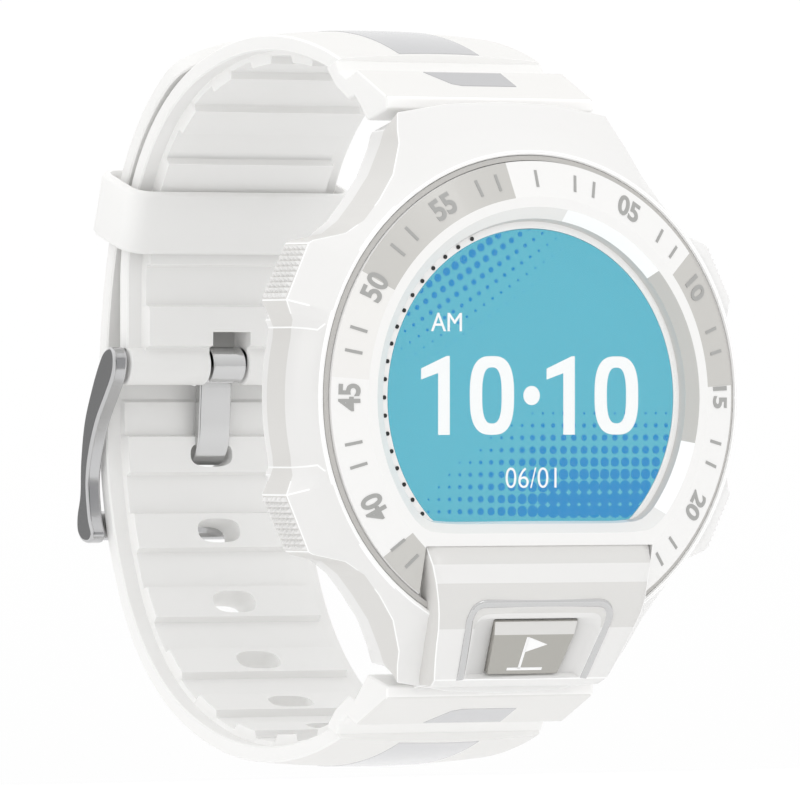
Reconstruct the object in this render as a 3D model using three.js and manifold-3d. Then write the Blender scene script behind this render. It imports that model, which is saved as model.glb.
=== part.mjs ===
// A rugged golf GPS sport watch, buckled into a loop as it is worn.
// Units are millimetres. The dial faces -Y, 12 o'clock is +Z and 3 o'clock is +X.
// The head and strap are laid out from the plane of the screen (y = 0) inside one group,
// which is then moved so that the origin is the middle of the sensor window on the case back.
import * as THREE from "three";
import { mergeVertices } from "three/addons/utils/BufferGeometryUtils.js";
import Module from "manifold-3d";

const wasm = await Module();
wasm.setup();

// ---- driving dimensions ------------------------------------------------------------------
const DEG = Math.PI / 180;
const BACK_Y = 11.5; // screen plane to the sensor window's outer face
const SEGMENTS = 64; // around a full turn

// screen and bezel
const SCREEN_R = 15.5;
const SCREEN_FLAT = -11.35; // the screen's flat lower edge
const WINDOW_R = 16.4; // the bezel's opening
const WINDOW_FLAT = -11.6;
const WINDOW_CHAMFER = 1.0;
const LAND_Y = -1.3; // the bezel's highest ring
const LAND_OUT_R = 18.45;
const BEZEL_R = 21.75;
const BEZEL_EDGE_Y = -0.3;
const BEZEL_BACK_Y = 0.95;

// outer shell
const RIM_IN_R = 22.2;
const RIM_OUT_R = 22.7;
const SHELL_BORE_R = 20.6;
const SIDE_R = 24.0; // the side wall between the grips
const GRIP_R = 25.8; // the corner grips
const GRIP_FRONT_Y = 3.55;
const GRIP_BACK_Y = 7.9;
const SHELL_BACK_Y = 9.3;
const HOOD_TOP_Z = 27.3;
const HOOD_CORNER = [11.35, 26.2];
const HOOD_EDGE_Y = 5.15;

// middle case and back
const MID_R = 20.4;
const MID_WALL = 1.3;
const MID_FRONT_Y = 1.1;
const MID_BACK_Y = 9.25;
const BACK_R = 20.2;
const BACK_THICK = 1.0;
const SCREW_RING_R = 17.4;
const SCREW_ANGLES = [45, 135, 225, 315];
const SENSOR_R = 6.2;

// strap: both halves follow arcs in the Y-Z plane
const STRAP_HALF = 11;
const PAD_HALF = 9.3; // the ribbed pad on the inside is narrower than the strap
const BLOCK_HALF = 11.3;
const SKIN = 1.5; // the strap without its pad
const PAD = 0.4;
const RIB = 0.4;
const RIB_PITCH = 8;
const RIB_LENGTH = 3.9;
const TAIL_SKIN = 1.4;
const HOLE_WIDE = 4.8;
const HOLE_HIGH = 2.4;
const LUG_BAR = new THREE.Vector2(8.4, 23.6); // y, z of the upper strap bar

// buckle
const BAR = new THREE.Vector2(56.0, 3.1); // y, z of the buckle's bar
const BAR_R = 0.75;
const BOSS_R = 1.95;
const TONGUE_HALF = 1.8;
const ARM_IN = 11.4;
const ARM_OUT = 13.0;

// ---- materials ---------------------------------------------------------------------------
const finish = (color, roughness, metalness = 0) =>
  new THREE.MeshStandardMaterial({ color, roughness, metalness });
const WHITE = finish(0xf3f3f2, 0.35);
const SOFT_WHITE = finish(0xeeeeec, 0.55);
const GREY_GLOSS = finish(0xc9cacb, 0.2);
const SILVER = finish(0xd6d8dc, 0.2, 0.9);
const STEEL = finish(0xb8babd, 0.22, 1);
const SCREEN = finish(0x5cb8cc, 0.1);
const GLASS = finish(0xf2fbff, 0.03);
const KEY_GREY = finish(0xbcbab5, 0.4);
const BLACK = finish(0x1c1d1f, 0.5);
const BOARD = finish(0x1f5a3a, 0.5);
const FOIL = finish(0x9fa3a8, 0.35, 0.6);
const GOLD = finish(0xd2a64a, 0.25, 1);
const RUBBER = finish(0x3a3c3f, 0.8);
const CERAMIC = finish(0xcbbf9f, 0.6);

// ---- geometry helpers --------------------------------------------------------------------
// A three.js geometry as a solid that can be joined and cut.
function solid(geometry) {
  const bare = geometry.clone();
  bare.deleteAttribute("normal");
  bare.deleteAttribute("uv");
  const merged = mergeVertices(bare, 1e-4);
  return new wasm.Manifold(
    new wasm.Mesh({
      numProp: 3,
      vertProperties: merged.attributes.position.array,
      triVerts: new Uint32Array(merged.index.array),
    }),
  );
}

// A solid as a three.js geometry.
function surface(body) {
  const made = body.simplify(0.004).getMesh();
  return new THREE.BufferGeometry()
    .setAttribute("position", new THREE.BufferAttribute(made.vertProperties, 3))
    .setIndex(new THREE.BufferAttribute(made.triVerts, 1));
}

const joined = (...bodies) => bodies.reduce((a, b) => a.add(b));
const cut = (body, ...tools) => tools.reduce((a, b) => a.subtract(b), body);

// A shape drawn in X-Z, as seen from the front, and extruded from y0 back to y1.
function plate(shape, y0, y1, options = {}) {
  const geometry = new THREE.ExtrudeGeometry(shape, {
    depth: y1 - y0,
    bevelEnabled: false,
    curveSegments: SEGMENTS / 4,
    ...options,
  });
  return solid(geometry.rotateX(Math.PI / 2).translate(0, y1, 0));
}

// A shape drawn in Y-Z, as seen from the side, and extruded from x0 to x1.
function slab(shape, x0, x1) {
  const geometry = new THREE.ExtrudeGeometry(shape, {
    depth: x1 - x0,
    bevelEnabled: false,
    curveSegments: 6,
  });
  const sideways = new THREE.Matrix4().makeBasis(
    new THREE.Vector3(0, 1, 0),
    new THREE.Vector3(0, 0, 1),
    new THREE.Vector3(1, 0, 0),
  );
  return solid(geometry.applyMatrix4(sideways).translate(x0, 0, 0));
}

// A closed profile of [radius, y] pairs turned round the dial's axis.
function turned(profile, segments = SEGMENTS) {
  const points = profile.map(([r, y]) => new THREE.Vector2(r, y));
  if (THREE.ShapeUtils.area(points) < 0) points.reverse();
  return solid(new THREE.LatheGeometry([...points, points[0]], segments));
}

// A disc round the dial's axis, or round (x, z) if given.
function disc(radius, y0, y1, x = 0, z = 0, segments = 32) {
  const geometry = new THREE.CylinderGeometry(radius, radius, y1 - y0, segments);
  return solid(geometry.translate(x, (y0 + y1) / 2, z));
}

// A rod along X through (y, z).
function rod(radius, x0, x1, y, z, segments = 20) {
  const geometry = new THREE.CylinderGeometry(radius, radius, x1 - x0, segments);
  return solid(geometry.rotateZ(Math.PI / 2).translate((x0 + x1) / 2, y, z));
}

function box(x0, x1, y0, y1, z0, z1) {
  const geometry = new THREE.BoxGeometry(x1 - x0, y1 - y0, z1 - z0);
  return solid(geometry.translate((x0 + x1) / 2, (y0 + y1) / 2, (z0 + z1) / 2));
}

const polygon = (points) =>
  new THREE.Shape(points.map(([a, b]) => new THREE.Vector2(a, b)));

const mirrorZ = (body) => body.mirror([0, 0, 1]);

// A circle of radius r with its lower part cut off flat, corners rounded by fillet.
function flatCircle(r, flat, fillet = 0) {
  const half = Math.sqrt(r * r - flat * flat);
  const corner = Math.atan2(flat, half);
  const lift = fillet / r;
  const shape = new THREE.Shape();
  shape.moveTo(-half + fillet, flat);
  shape.lineTo(half - fillet, flat);
  if (fillet > 0)
    shape.quadraticCurveTo(
      half,
      flat,
      r * Math.cos(corner + lift),
      r * Math.sin(corner + lift),
    );
  shape.absarc(0, 0, r, corner + lift, Math.PI - corner - lift, false);
  if (fillet > 0) shape.quadraticCurveTo(-half, flat, -half + fillet, flat);
  return shape;
}

// ---- strap paths -------------------------------------------------------------------------
// A path in Y-Z that starts at a point with a heading and follows bends [radius, degrees];
// a bend to the left is positive and [Infinity, length] is a straight.
function bentPath(start, heading, bends) {
  const pieces = [];
  let point = start.clone();
  let angle = heading * DEG;
  let length = 0;
  for (const [radius, amount] of bends) {
    const straight = radius === Infinity;
    const turn = straight ? 0 : amount * DEG;
    const span = straight ? amount : Math.abs(turn) * radius;
    pieces.push({ start: point, angle, turn, span, from: length });
    point = along(pieces.at(-1), span);
    angle += turn;
    length += span;
  }
  const at = (s) => {
    const piece = pieces.findLast((p) => s >= p.from - 1e-9) ?? pieces[0];
    const t = s - piece.from;
    const facing = piece.angle + (piece.turn * t) / piece.span;
    const spot = along(piece, t);
    return { y: spot.x, z: spot.y, facing };
  };
  return { at, length };
}

function along(piece, t) {
  if (piece.turn === 0)
    return new THREE.Vector2(Math.cos(piece.angle), Math.sin(piece.angle))
      .multiplyScalar(t)
      .add(piece.start);
  const radius = piece.span / piece.turn; // signed
  const facing = piece.angle + t / radius;
  return new THREE.Vector2(
    piece.start.x + radius * (Math.sin(facing) - Math.sin(piece.angle)),
    piece.start.y - radius * (Math.cos(facing) - Math.cos(piece.angle)),
  );
}

// The point at distance s, moved inward (towards the wrist) by depth.
function inset(path, s, depth, side) {
  const { y, z, facing } = path.at(s);
  return [y + side * depth * Math.sin(facing), z - side * depth * Math.cos(facing)];
}

// The outline between two depths of a path, from s0 to s1. side is 1 where the wrist is on the
// right of the path and -1 where it is on the left.
function ribbon(path, s0, s1, outer, inner, side, step = 2) {
  const count = Math.max(1, Math.ceil((s1 - s0) / step));
  const stops = Array.from({ length: count + 1 }, (_, i) => s0 + ((s1 - s0) * i) / count);
  return polygon([
    ...stops.map((s) => inset(path, s, outer, side)),
    ...stops.reverse().map((s) => inset(path, s, inner, side)),
  ]);
}

const upperPath = bentPath(new THREE.Vector2(15.97, 31.44), 21.25, [
  [37.6, -21.25],
  [34.2, -23],
  [22.2, -67],
  [Infinity, 7.7],
]);
const lowerPath = bentPath(new THREE.Vector2(15.97, -31.6), -21.1, [
  [39, 21.1],
  [35, 24],
  [25, 40],
  [39, 26],
  [Infinity, 3.5],
  [49.7, 22],
  [24.35, 52],
]);
const TAIL_FROM = lowerPath.length - 24.35 * 52 * DEG - 49.7 * 22 * DEG - 9.5;
const KEEPER_ARC = new THREE.Vector2(34.29, 10.85); // centre of the upper strap's back arc

// ---- screen, bezel and key ---------------------------------------------------------------
const white = (name, body) => node(name, body, WHITE);
function node(name, body, material) {
  const mesh = new THREE.Mesh(surface(body), material);
  mesh.name = name;
  return mesh;
}

const displayGlass = () => plate(flatCircle(SCREEN_R, SCREEN_FLAT), -0.25, 0.25);
const displayPanel = () => plate(flatCircle(SCREEN_R - 0.1, SCREEN_FLAT + 0.1), 0.3, 1.5);

function minuteRing() {
  const end = Math.asin((SCREEN_FLAT + 1) / WINDOW_R);
  const shape = new THREE.Shape();
  shape.absarc(0, 0, WINDOW_R - 0.1, end, Math.PI - end, false);
  shape.absarc(0, 0, SCREEN_R + 0.1, Math.PI - end, end, true);
  return plate(shape, 0, 0.9);
}

function bezelRing() {
  const cone = turned([
    [12, BEZEL_BACK_Y],
    [BEZEL_R - 0.3, BEZEL_BACK_Y],
    [BEZEL_R, BEZEL_BACK_Y - 0.3],
    [BEZEL_R, BEZEL_EDGE_Y],
    [LAND_OUT_R, LAND_Y + 0.05],
    [LAND_OUT_R - 0.1, LAND_Y],
    [12, LAND_Y],
  ]);
  const opening = flatCircle(WINDOW_R, WINDOW_FLAT, 2.2);
  const flare = plate(opening, LAND_Y - 2, LAND_Y, {
    bevelEnabled: true,
    bevelSize: WINDOW_CHAMFER,
    bevelThickness: 0.65,
    bevelSegments: 1,
  });
  const keyGap = box(-12.4, 12.4, LAND_Y - 1, 2, -23, -13.4);
  return cut(cone, plate(opening, -3, 3), flare, keyGap);
}

// ---- outer shell -------------------------------------------------------------------------
const SIDE_POINTS = [
  [HOOD_CORNER[0], HOOD_CORNER[1]],
  [12.3, 23.3],
  [13.6, 20.4],
  [15.3, 18.1],
  [17.2, 16.0],
  [18.9, 14.3],
  [21.6, 14.2],
  [24.2, 8.9],
  [22.95, 7.0],
];

// The shell as seen from the front: a hood at each end, four corner grips and round sides.
function shellOutline() {
  const quarter = [[0, HOOD_TOP_Z], [6, HOOD_TOP_Z - 0.3], ...SIDE_POINTS];
  const side = Array.from({ length: 7 }, (_, i) => {
    const a = (15 - i * 5) * DEG;
    return [SIDE_R * Math.cos(a), SIDE_R * Math.sin(a)];
  });
  const right = [...quarter, ...side, ...quarter.map(([x, z]) => [x, -z]).reverse()];
  const left = right.slice(1, -1).map(([x, z]) => [-x, z]);
  return polygon([...right, ...left.reverse()]);
}

// The raised housing of the front key, in side view, and how it narrows downwards.
const HOUSING_SIDE = [
  [-1.3, -13.55],
  [-2.1, -15.3],
  [-1.85, -19],
  [-0.2, -21.85],
  [1.74, -24.2],
  [4.2, -25.7],
  [6, -26.6],
];
const HOUSING_FRONT = [
  [12.1, -13.55],
  [11.86, -15.3],
  [11.14, -19],
  [10.04, -21.85],
  [9.4, -24.2],
  [8.5, -26.6],
];

// The key works square to the housing's sloping face.
const KEY_CENTRE = new THREE.Vector3(0, 0.75, -22.3);
const KEY_TILT = 42 * DEG;
const keyFrame = new THREE.Matrix4()
  .makeRotationX(KEY_TILT)
  .setPosition(KEY_CENTRE);

// A trapezium with rounded upper corners in the key's own frame, half as wide as top and foot.
function keyShape(top, foot, high, low, round) {
  const shape = new THREE.Shape();
  shape.moveTo(-foot, low);
  shape.lineTo(foot, low);
  shape.lineTo(top, high - round);
  shape.quadraticCurveTo(top, high, top - round, high);
  shape.lineTo(-top + round, high);
  shape.quadraticCurveTo(-top, high, -top, high - round);
  return shape;
}

function keyPlate(shape, y0, y1) {
  const geometry = new THREE.ExtrudeGeometry(shape, {
    depth: y1 - y0,
    bevelEnabled: false,
    curveSegments: 5,
  });
  return solid(
    geometry.rotateX(Math.PI / 2).translate(0, y1, 0).applyMatrix4(keyFrame),
  );
}

function keyRod(radius, y0, y1) {
  const geometry = new THREE.CylinderGeometry(radius, radius, y1 - y0, 20);
  return solid(geometry.translate(0, (y0 + y1) / 2, 0).applyMatrix4(keyFrame));
}

function outerShell() {
  const ring = turned([
    [SHELL_BORE_R, SHELL_BACK_Y],
    [SIDE_R - 0.8, SHELL_BACK_Y],
    [30, GRIP_BACK_Y],
    [30, 1.12 * (30 - RIM_OUT_R)],
    [RIM_OUT_R, 0],
    [RIM_IN_R, 0],
    [RIM_IN_R, 1],
    [SHELL_BORE_R, 1],
  ]);
  const body = ring.intersect(plate(shellOutline(), -5, 20));
  const gripUnder = cut(
    turned([
      [SIDE_R, GRIP_BACK_Y],
      [30, GRIP_BACK_Y],
      [30, 12],
      [SIDE_R, 12],
    ]),
    box(-15, 15, -5, 20, -40, 40),
  );
  const hoodSide = polygon([
    [1.05, 21.5],
    [0.6, 23.1],
    [HOOD_EDGE_Y, HOOD_TOP_Z],
    [HOOD_EDGE_Y + 0.9, HOOD_TOP_Z - 0.7],
    [SHELL_BACK_Y - 0.6, 24.8],
    [SHELL_BACK_Y, 24],
    [SHELL_BACK_Y, 20.8],
    [1.05, 20.8],
  ]);
  const hood = cut(
    slab(hoodSide, -12.6, 12.6).intersect(plate(shellOutline(), -5, 20)),
    disc(SHELL_BORE_R, -5, 20, 0, 0, SEGMENTS),
    disc(RIM_IN_R, -5, 1, 0, 0, SEGMENTS),
  );
  const housing = slab(
    polygon([...HOUSING_SIDE, [8, -22.5], [8, -20.9], [1.0, -20.9], [1.0, -13.55]]),
    -12.1,
    12.1,
  )
    .intersect(
      plate(
        polygon([...HOUSING_FRONT, ...HOUSING_FRONT.map(([x, z]) => [-x, z]).reverse()]),
        -5,
        20,
      ),
    );
  const blockRoom = slab(
    polygon([
      [HOOD_EDGE_Y, HOOD_TOP_Z],
      [HOOD_EDGE_Y + 0.9, HOOD_TOP_Z - 0.7],
      [SHELL_BACK_Y - 0.6, 24.8],
      [SHELL_BACK_Y + 1, 24],
      [SHELL_BACK_Y + 1, 30],
    ]),
    -11.8,
    11.8,
  );
  const pocket = box(-8.9, 8.9, 6.1, 12, 20.7, 30);
  const barHole = rod(0.6, -10.4, 10.4, LUG_BAR.x, LUG_BAR.y);
  const whole = joined(cut(body, gripUnder), hood, mirrorZ(hood), housing);
  return cut(
    whole,
    blockRoom,
    mirrorZ(blockRoom),
    pocket,
    mirrorZ(pocket),
    barHole,
    mirrorZ(barHole),
    keyPlate(keyShape(7.8, 6.9, 4.7, -5.6, 2), -6, 0.9),
    keyPlate(keyShape(6.4, 5.9, 3.2, -5, 1.2), 0, 1.5),
    keyRod(1.35, 0, 6),
  );
}

const keyTrim = () =>
  cut(
    keyPlate(keyShape(7.65, 6.8, 4.55, -4.2, 1.9), -0.45, 0.6),
    keyPlate(keyShape(6.4, 5.9, 3.2, -6, 1.2), -2, 3),
  );

const frontKey = () =>
  joined(keyPlate(keyShape(4.4, 3.7, 1.3, -4.6, 0.3), 0.1, 0.8), keyRod(0.9, 0.75, 5.8));

const keySeal = () => cut(keyRod(1.3, 1.7, 2.5), keyRod(0.95, 1, 3));

// ---- middle case, back and what they hold --------------------------------------------------
const screwSpots = SCREW_ANGLES.map((a) => [
  SCREW_RING_R * Math.cos(a * DEG),
  SCREW_RING_R * Math.sin(a * DEG),
]);

function midCase() {
  const cup = turned([
    [WINDOW_R + 0.2, MID_FRONT_Y],
    [MID_R, MID_FRONT_Y],
    [MID_R, MID_BACK_Y],
    [MID_R - MID_WALL, MID_BACK_Y],
    [MID_R - MID_WALL, MID_FRONT_Y + 0.9],
    [WINDOW_R + 0.2, MID_FRONT_Y + 0.9],
  ]);
  const bosses = screwSpots.map(([x, z]) => disc(1.9, 4.8, MID_BACK_Y - 0.4, x, z, 20));
  const threads = screwSpots.map(([x, z]) => disc(0.75, 5.6, 12, x, z, 16));
  const seat = turned([
    [MID_R - MID_WALL + 0.5, MID_BACK_Y + 1],
    [MID_R - MID_WALL - 2, MID_BACK_Y + 1],
    [MID_R - MID_WALL - 2, MID_BACK_Y - 0.4],
    [MID_R - MID_WALL + 0.5, MID_BACK_Y - 0.4],
  ]);
  return cut(joined(cup, ...bosses), seat, ...threads, keyRod(1.35, -1, 9));
}

const caseGasket = () =>
  turned([
    [18.9, MID_BACK_Y - 0.3],
    [19.45, MID_BACK_Y - 0.3],
    [19.45, MID_BACK_Y + 0.2],
    [18.9, MID_BACK_Y + 0.2],
  ]);

function caseBack() {
  const y0 = MID_BACK_Y + 0.3;
  const cover = turned([
    [SENSOR_R + 0.1, y0],
    [BACK_R, y0],
    [BACK_R, y0 + BACK_THICK - 0.3],
    [BACK_R - 0.6, y0 + BACK_THICK],
    [12, y0 + BACK_THICK + 0.2],
    [9, BACK_Y - 0.15],
    [SENSOR_R + 0.1, BACK_Y - 0.15],
  ]);
  const holes = screwSpots.flatMap(([x, z]) => [
    disc(0.9, 5, 14, x, z, 16),
    disc(1.6, y0 + 0.45, 14, x, z, 20),
  ]);
  const contacts = contactSpots.map(([x, z]) => disc(0.85, 5, 14, x, z, 16));
  return cut(cover, ...holes, ...contacts);
}

const contactSpots = [-3.9, -1.3, 1.3, 3.9].map((x) => [x, -10.4]);
const caseScrew = ([x, z]) =>
  cut(
    joined(
      disc(0.65, 5.9, MID_BACK_Y + 0.9, x, z, 16),
      disc(1.45, MID_BACK_Y + 0.85, MID_BACK_Y + 1.35, x, z, 20),
    ),
    disc(0.5, MID_BACK_Y + 1.1, 14, x, z, 6),
  );
const chargeContact = ([x, z]) =>
  joined(disc(0.7, 7.7, 10.95, x, z, 16), disc(1.1, 8.6, 9.2, x, z, 16));

const sensorWindow = () =>
  joined(disc(SENSOR_R, 9.6, BACK_Y, 0, 0, 40), disc(7.6, 8.95, 9.5, 0, 0, 40), disc(6, 9.4, 9.7, 0, 0, 40));
const sensorBoard = () =>
  joined(
    box(-6.5, 6.5, 7.6, 8.1, -4.2, 4.2),
    box(-1.3, 1.3, 8.05, 8.8, -1.3, 1.3),
    box(2.6, 4.4, 8.05, 8.7, -0.9, 0.9),
    box(-4.4, -2.6, 8.05, 8.7, -0.9, 0.9),
  );

function displayBracket() {
  const y0 = 1.55;
  return cut(
    joined(disc(WINDOW_R, y0, y0 + 0.5, 0, 0, 48), disc(18.8, 2.1, 2.5, 0, 0, 48), disc(16, 1.9, 2.2, 0, 0, 48)),
    box(-4, 4, 0, 4, -14, -9),
    keyRod(1.35, -1, 9),
  );
}

const mainBoard = () =>
  cut(
    disc(18.7, 2.6, 3.4, 0, 0, 48),
    ...screwSpots.map(([x, z]) => disc(2.2, 0, 9, x, z, 20)),
    box(-6, 6, 0, 9, -20, -14.5),
  );
const processorCan = () => box(-13.5, -3.5, 3.45, 4.7, -9.5, 1.5);
const pressureSensor = () => disc(1.4, 3.45, 4.4, 9.8, -11.2, 20);
const gpsAntenna = () => box(-5.5, 5.5, 3.45, 5.4, 7.5, 17.2);
const batteryCell = () => box(-2.6, 14.4, 3.7, 7.3, -9.0, 6.6);

function motorCan() {
  return cut(rod(2.0, -9.4, -3.0, 5.9, -13.6, 24), rod(0.45, -4, 0, 5.9, -13.6, 12));
}
// A half-round weight on the motor's shaft.
function motorWeight() {
  const half = new THREE.Shape();
  half.absarc(5.9, -13.6, 1.8, 0, Math.PI, true);
  return joined(slab(half, -2.6, -0.4), rod(0.5, -2.7, -0.3, 5.9, -13.6, 12), rod(0.35, -3.9, -2.65, 5.9, -13.6, 12));
}

const keySwitch = () => {
  const geometry = new THREE.BoxGeometry(3.2, 1.3, 2.4);
  const button = new THREE.CylinderGeometry(0.8, 0.8, 0.5, 16);
  return joined(
    solid(geometry.translate(0, 7.4, 0).applyMatrix4(keyFrame)),
    solid(button.translate(0, 6.6, 0).applyMatrix4(keyFrame)),
  );
};

// ---- strap -------------------------------------------------------------------------------
// The end block that meets the case, in side view, for the upper strap.
const BLOCK = [
  [15.97, 31.44],
  [15.6, 30.3],
  [14.2, 29.65],
  [12.4, 30.3],
  [7.05, 27.7],
  [7.05, 26.5],
  [10.6, 25.5],
  [11.8, 26.8],
  [12.9, 27.9],
  [14, 27.5],
  [16.35, 28.9],
  [17.3, 29.9],
  [19, 31],
];

function ribs(path, from, to, depth, side) {
  const count = Math.floor((to - from) / RIB_PITCH);
  return Array.from({ length: count }, (_, i) => {
    const s = from + i * RIB_PITCH;
    return slab(ribbon(path, s, s + RIB_LENGTH, depth - 0.3, depth + RIB, side), -PAD_HALF, PAD_HALF);
  });
}

function knuckle() {
  const neck = polygon([
    [LUG_BAR.x - 0.6, LUG_BAR.y],
    [LUG_BAR.x + 1.7, LUG_BAR.y],
    [10.6, 26.0],
    [8, 27],
  ]);
  const barrel = joined(
    rod(2.0, -8.6, 8.6, LUG_BAR.x, LUG_BAR.y, 24),
    slab(neck, -8.6, 8.6),
  );
  return cut(barrel, rod(0.95, -9, 9, LUG_BAR.x, LUG_BAR.y));
}

// A pin hole through the strap, square to it at distance s.
function pinHole(path, s, side) {
  const { y, z, facing } = path.at(s);
  const shape = new THREE.Shape();
  const wide = HOLE_WIDE / 2 - HOLE_HIGH / 2;
  shape.absarc(wide, 0, HOLE_HIGH / 2, -Math.PI / 2, Math.PI / 2, false);
  shape.absarc(-wide, 0, HOLE_HIGH / 2, Math.PI / 2, Math.PI * 1.5, false);
  const geometry = new THREE.ExtrudeGeometry(shape, {
    depth: 8,
    bevelEnabled: false,
    curveSegments: 5,
  });
  geometry.translate(0, 0, -4).rotateX(facing + (side > 0 ? 0 : Math.PI));
  return solid(geometry.translate(0, y, z));
}

function strapUpper() {
  const path = upperPath;
  const end = path.length;
  const band = slab(ribbon(path, 0, end, 0, SKIN, 1), -STRAP_HALF, STRAP_HALF);
  const pad = slab(ribbon(path, 3, end, SKIN - 0.2, SKIN + PAD, 1), -PAD_HALF, PAD_HALF);
  const block = slab(polygon(BLOCK), -BLOCK_HALF, BLOCK_HALF);
  const boss = rod(BOSS_R, -STRAP_HALF, STRAP_HALF, BAR.x, BAR.y, 28);
  const whole = joined(
    band,
    pad,
    block,
    knuckle(),
    boss,
    ...ribs(path, 7, end - 4, SKIN + PAD, 1),
  );
  const slot = box(-2.15, 2.15, BAR.x - 4, BAR.x + 4, BAR.y - 4, BAR.y + 3.2);
  return cut(
    whole,
    slot,
    rod(BAR_R + 0.1, -12, 12, BAR.x, BAR.y),
    insertPocket(path, 1),
    shortPocket(1),
  );
}

// Pin holes counted from the one that the tongue is in, back towards the case.
const TONGUE_HOLE = lowerPath.length - 24.35 * 52 * DEG - 49.7 * 22 * DEG - 3.5 - 3.5;
const holeStops = [1, 0, -1, -2, -3, -4, -5].map((i) => TONGUE_HOLE + i * RIB_PITCH);

function strapLower() {
  const path = lowerPath;
  const band = slab(ribbon(path, 0, TAIL_FROM, 0, SKIN, -1), -STRAP_HALF, STRAP_HALF);
  const pad = slab(ribbon(path, 3, TAIL_FROM, SKIN - 0.2, SKIN + PAD, -1), -PAD_HALF, PAD_HALF);
  const tail = slab(
    ribbon(path, TAIL_FROM - 0.5, path.length, 0, TAIL_SKIN, -1),
    -STRAP_HALF,
    STRAP_HALF,
  );
  const firstRib = TONGUE_HOLE - RIB_LENGTH / 2 - 7 * RIB_PITCH;
  const padRibs = ribs(path, firstRib, TAIL_FROM + 1, SKIN + PAD, -1);
  const block = mirrorZ(slab(polygon(BLOCK), -BLOCK_HALF, BLOCK_HALF));
  const whole = joined(band, pad, tail, block, mirrorZ(knuckle()), ...padRibs);
  const holes = holeStops.map((s) => pinHole(path, s, -1));
  return cut(whole, ...holes, tailTipCut(), insertPocket(path, -1), shortPocket(-1));
}

// What is cut away to round the tail's free end.
function tailTipCut() {
  const { y, z } = lowerPath.at(lowerPath.length);
  const round = 8;
  const corner = new THREE.Shape();
  corner.moveTo(STRAP_HALF + 1, -1);
  corner.lineTo(STRAP_HALF - round, -1);
  corner.lineTo(STRAP_HALF - round, 0);
  corner.absarc(STRAP_HALF - round, round, round, -Math.PI / 2, 0, false);
  corner.lineTo(STRAP_HALF + 1, round);
  const geometry = new THREE.ExtrudeGeometry(corner, {
    depth: 12,
    bevelEnabled: false,
    curveSegments: 8,
  });
  const facing = lowerPath.at(lowerPath.length - round / 2).facing;
  geometry.translate(0, 0, -6).rotateX(facing + Math.PI);
  const placed = solid(geometry.translate(0, y, z));
  return joined(placed, placed.mirror([1, 0, 0]));
}

// ---- grey inlays in the strap --------------------------------------------------------------
const INLAY_HALF = 4.5;
const INLAY_DEEP = 0.35;
const insertPocket = (path, side) =>
  slab(ribbon(path, -1, 15.5, -1, INLAY_DEEP, side), -INLAY_HALF, INLAY_HALF);
const longInlay = (path, side) =>
  slab(ribbon(path, 0.2, 15.3, 0, INLAY_DEEP - 0.1, side), -INLAY_HALF + 0.1, INLAY_HALF - 0.1);

// The short inlay lies on the end block's sloping face.
const blockSlope = new THREE.Vector2(12.4 - 7.05, 30.3 - 27.7).normalize();
function blockSlab(from, to, out, deep, half) {
  const spot = (t, d) => [
    7.05 + blockSlope.x * t + blockSlope.y * d,
    27.7 + blockSlope.y * t - blockSlope.x * d,
  ];
  const shape = polygon([spot(from, out), spot(to, out), spot(to, deep), spot(from, deep)]);
  return slab(shape, -half, half);
}
const shortPocket = (side) => {
  const body = blockSlab(2.4, 8, -2, INLAY_DEEP, INLAY_HALF);
  return side > 0 ? body : mirrorZ(body);
};
const shortInlay = () => blockSlab(2.5, 5.6, 0, INLAY_DEEP - 0.1, INLAY_HALF - 0.1);

// ---- keeper and buckle ---------------------------------------------------------------------
const KEEPER_AT = 18; // degrees round the arc
const KEEPER_HALF_ANGLE = 7.6;
function sector(r0, r1) {
  const a0 = (KEEPER_AT - KEEPER_HALF_ANGLE) * DEG;
  const a1 = (KEEPER_AT + KEEPER_HALF_ANGLE) * DEG;
  const shape = new THREE.Shape();
  shape.absarc(KEEPER_ARC.x, KEEPER_ARC.y, r1, a0, a1, false);
  shape.absarc(KEEPER_ARC.x, KEEPER_ARC.y, r0, a1, a0, true);
  return shape;
}
const strapKeeper = () =>
  cut(slab(sector(18.1, 26.35), -12.6, 12.6), slab(sector(19.55, 25.2), -11.4, 11.4));

const ARM_SIDE = [
  [55.2, 4.75],
  [56.3, 4.4],
  [57.2, 3.2],
  [58.5, 0.9],
  [59.9, -2.3],
  [60.6, -6.1],
  [60.6, -9.3],
  [61.3, -11.2],
  [61.2, -12.9],
  [60.3, -13.9],
  [58.6, -13.9],
  [58.0, -13.2],
  [58.9, -11.8],
  [59.3, -8.1],
  [58.7, -5.2],
  [57.4, -2.3],
  [55.6, 0.2],
  [54.3, 2.0],
  [54.1, 3.4],
  [54.5, 4.4],
];
const END_BAR = [
  [59.75, -11.3],
  [60.5, -10.8],
  [61.3, -11.2],
  [61.2, -12.9],
  [60.3, -13.9],
  [59.55, -13.6],
  [59.35, -12.6],
];

function buckleFrame() {
  const arms = joined(slab(polygon(ARM_SIDE), ARM_IN, ARM_OUT), slab(polygon(ARM_SIDE), -ARM_OUT, -ARM_IN));
  const bar = slab(polygon(END_BAR), -ARM_OUT, ARM_OUT);
  return cut(joined(arms, bar), rod(0.5, -12.4, 12.4, BAR.x, BAR.y, 16));
}

const barTube = (half, y, z) =>
  cut(
    rod(BAR_R, -half, half, y, z),
    rod(0.42, -half - 1, -half + 2.8, y, z, 16),
    rod(0.42, half - 2.8, half + 1, y, z, 16),
  );
const barTip = (x0, x1, y, z) => rod(0.36, x0, x1, y, z, 14);

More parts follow.
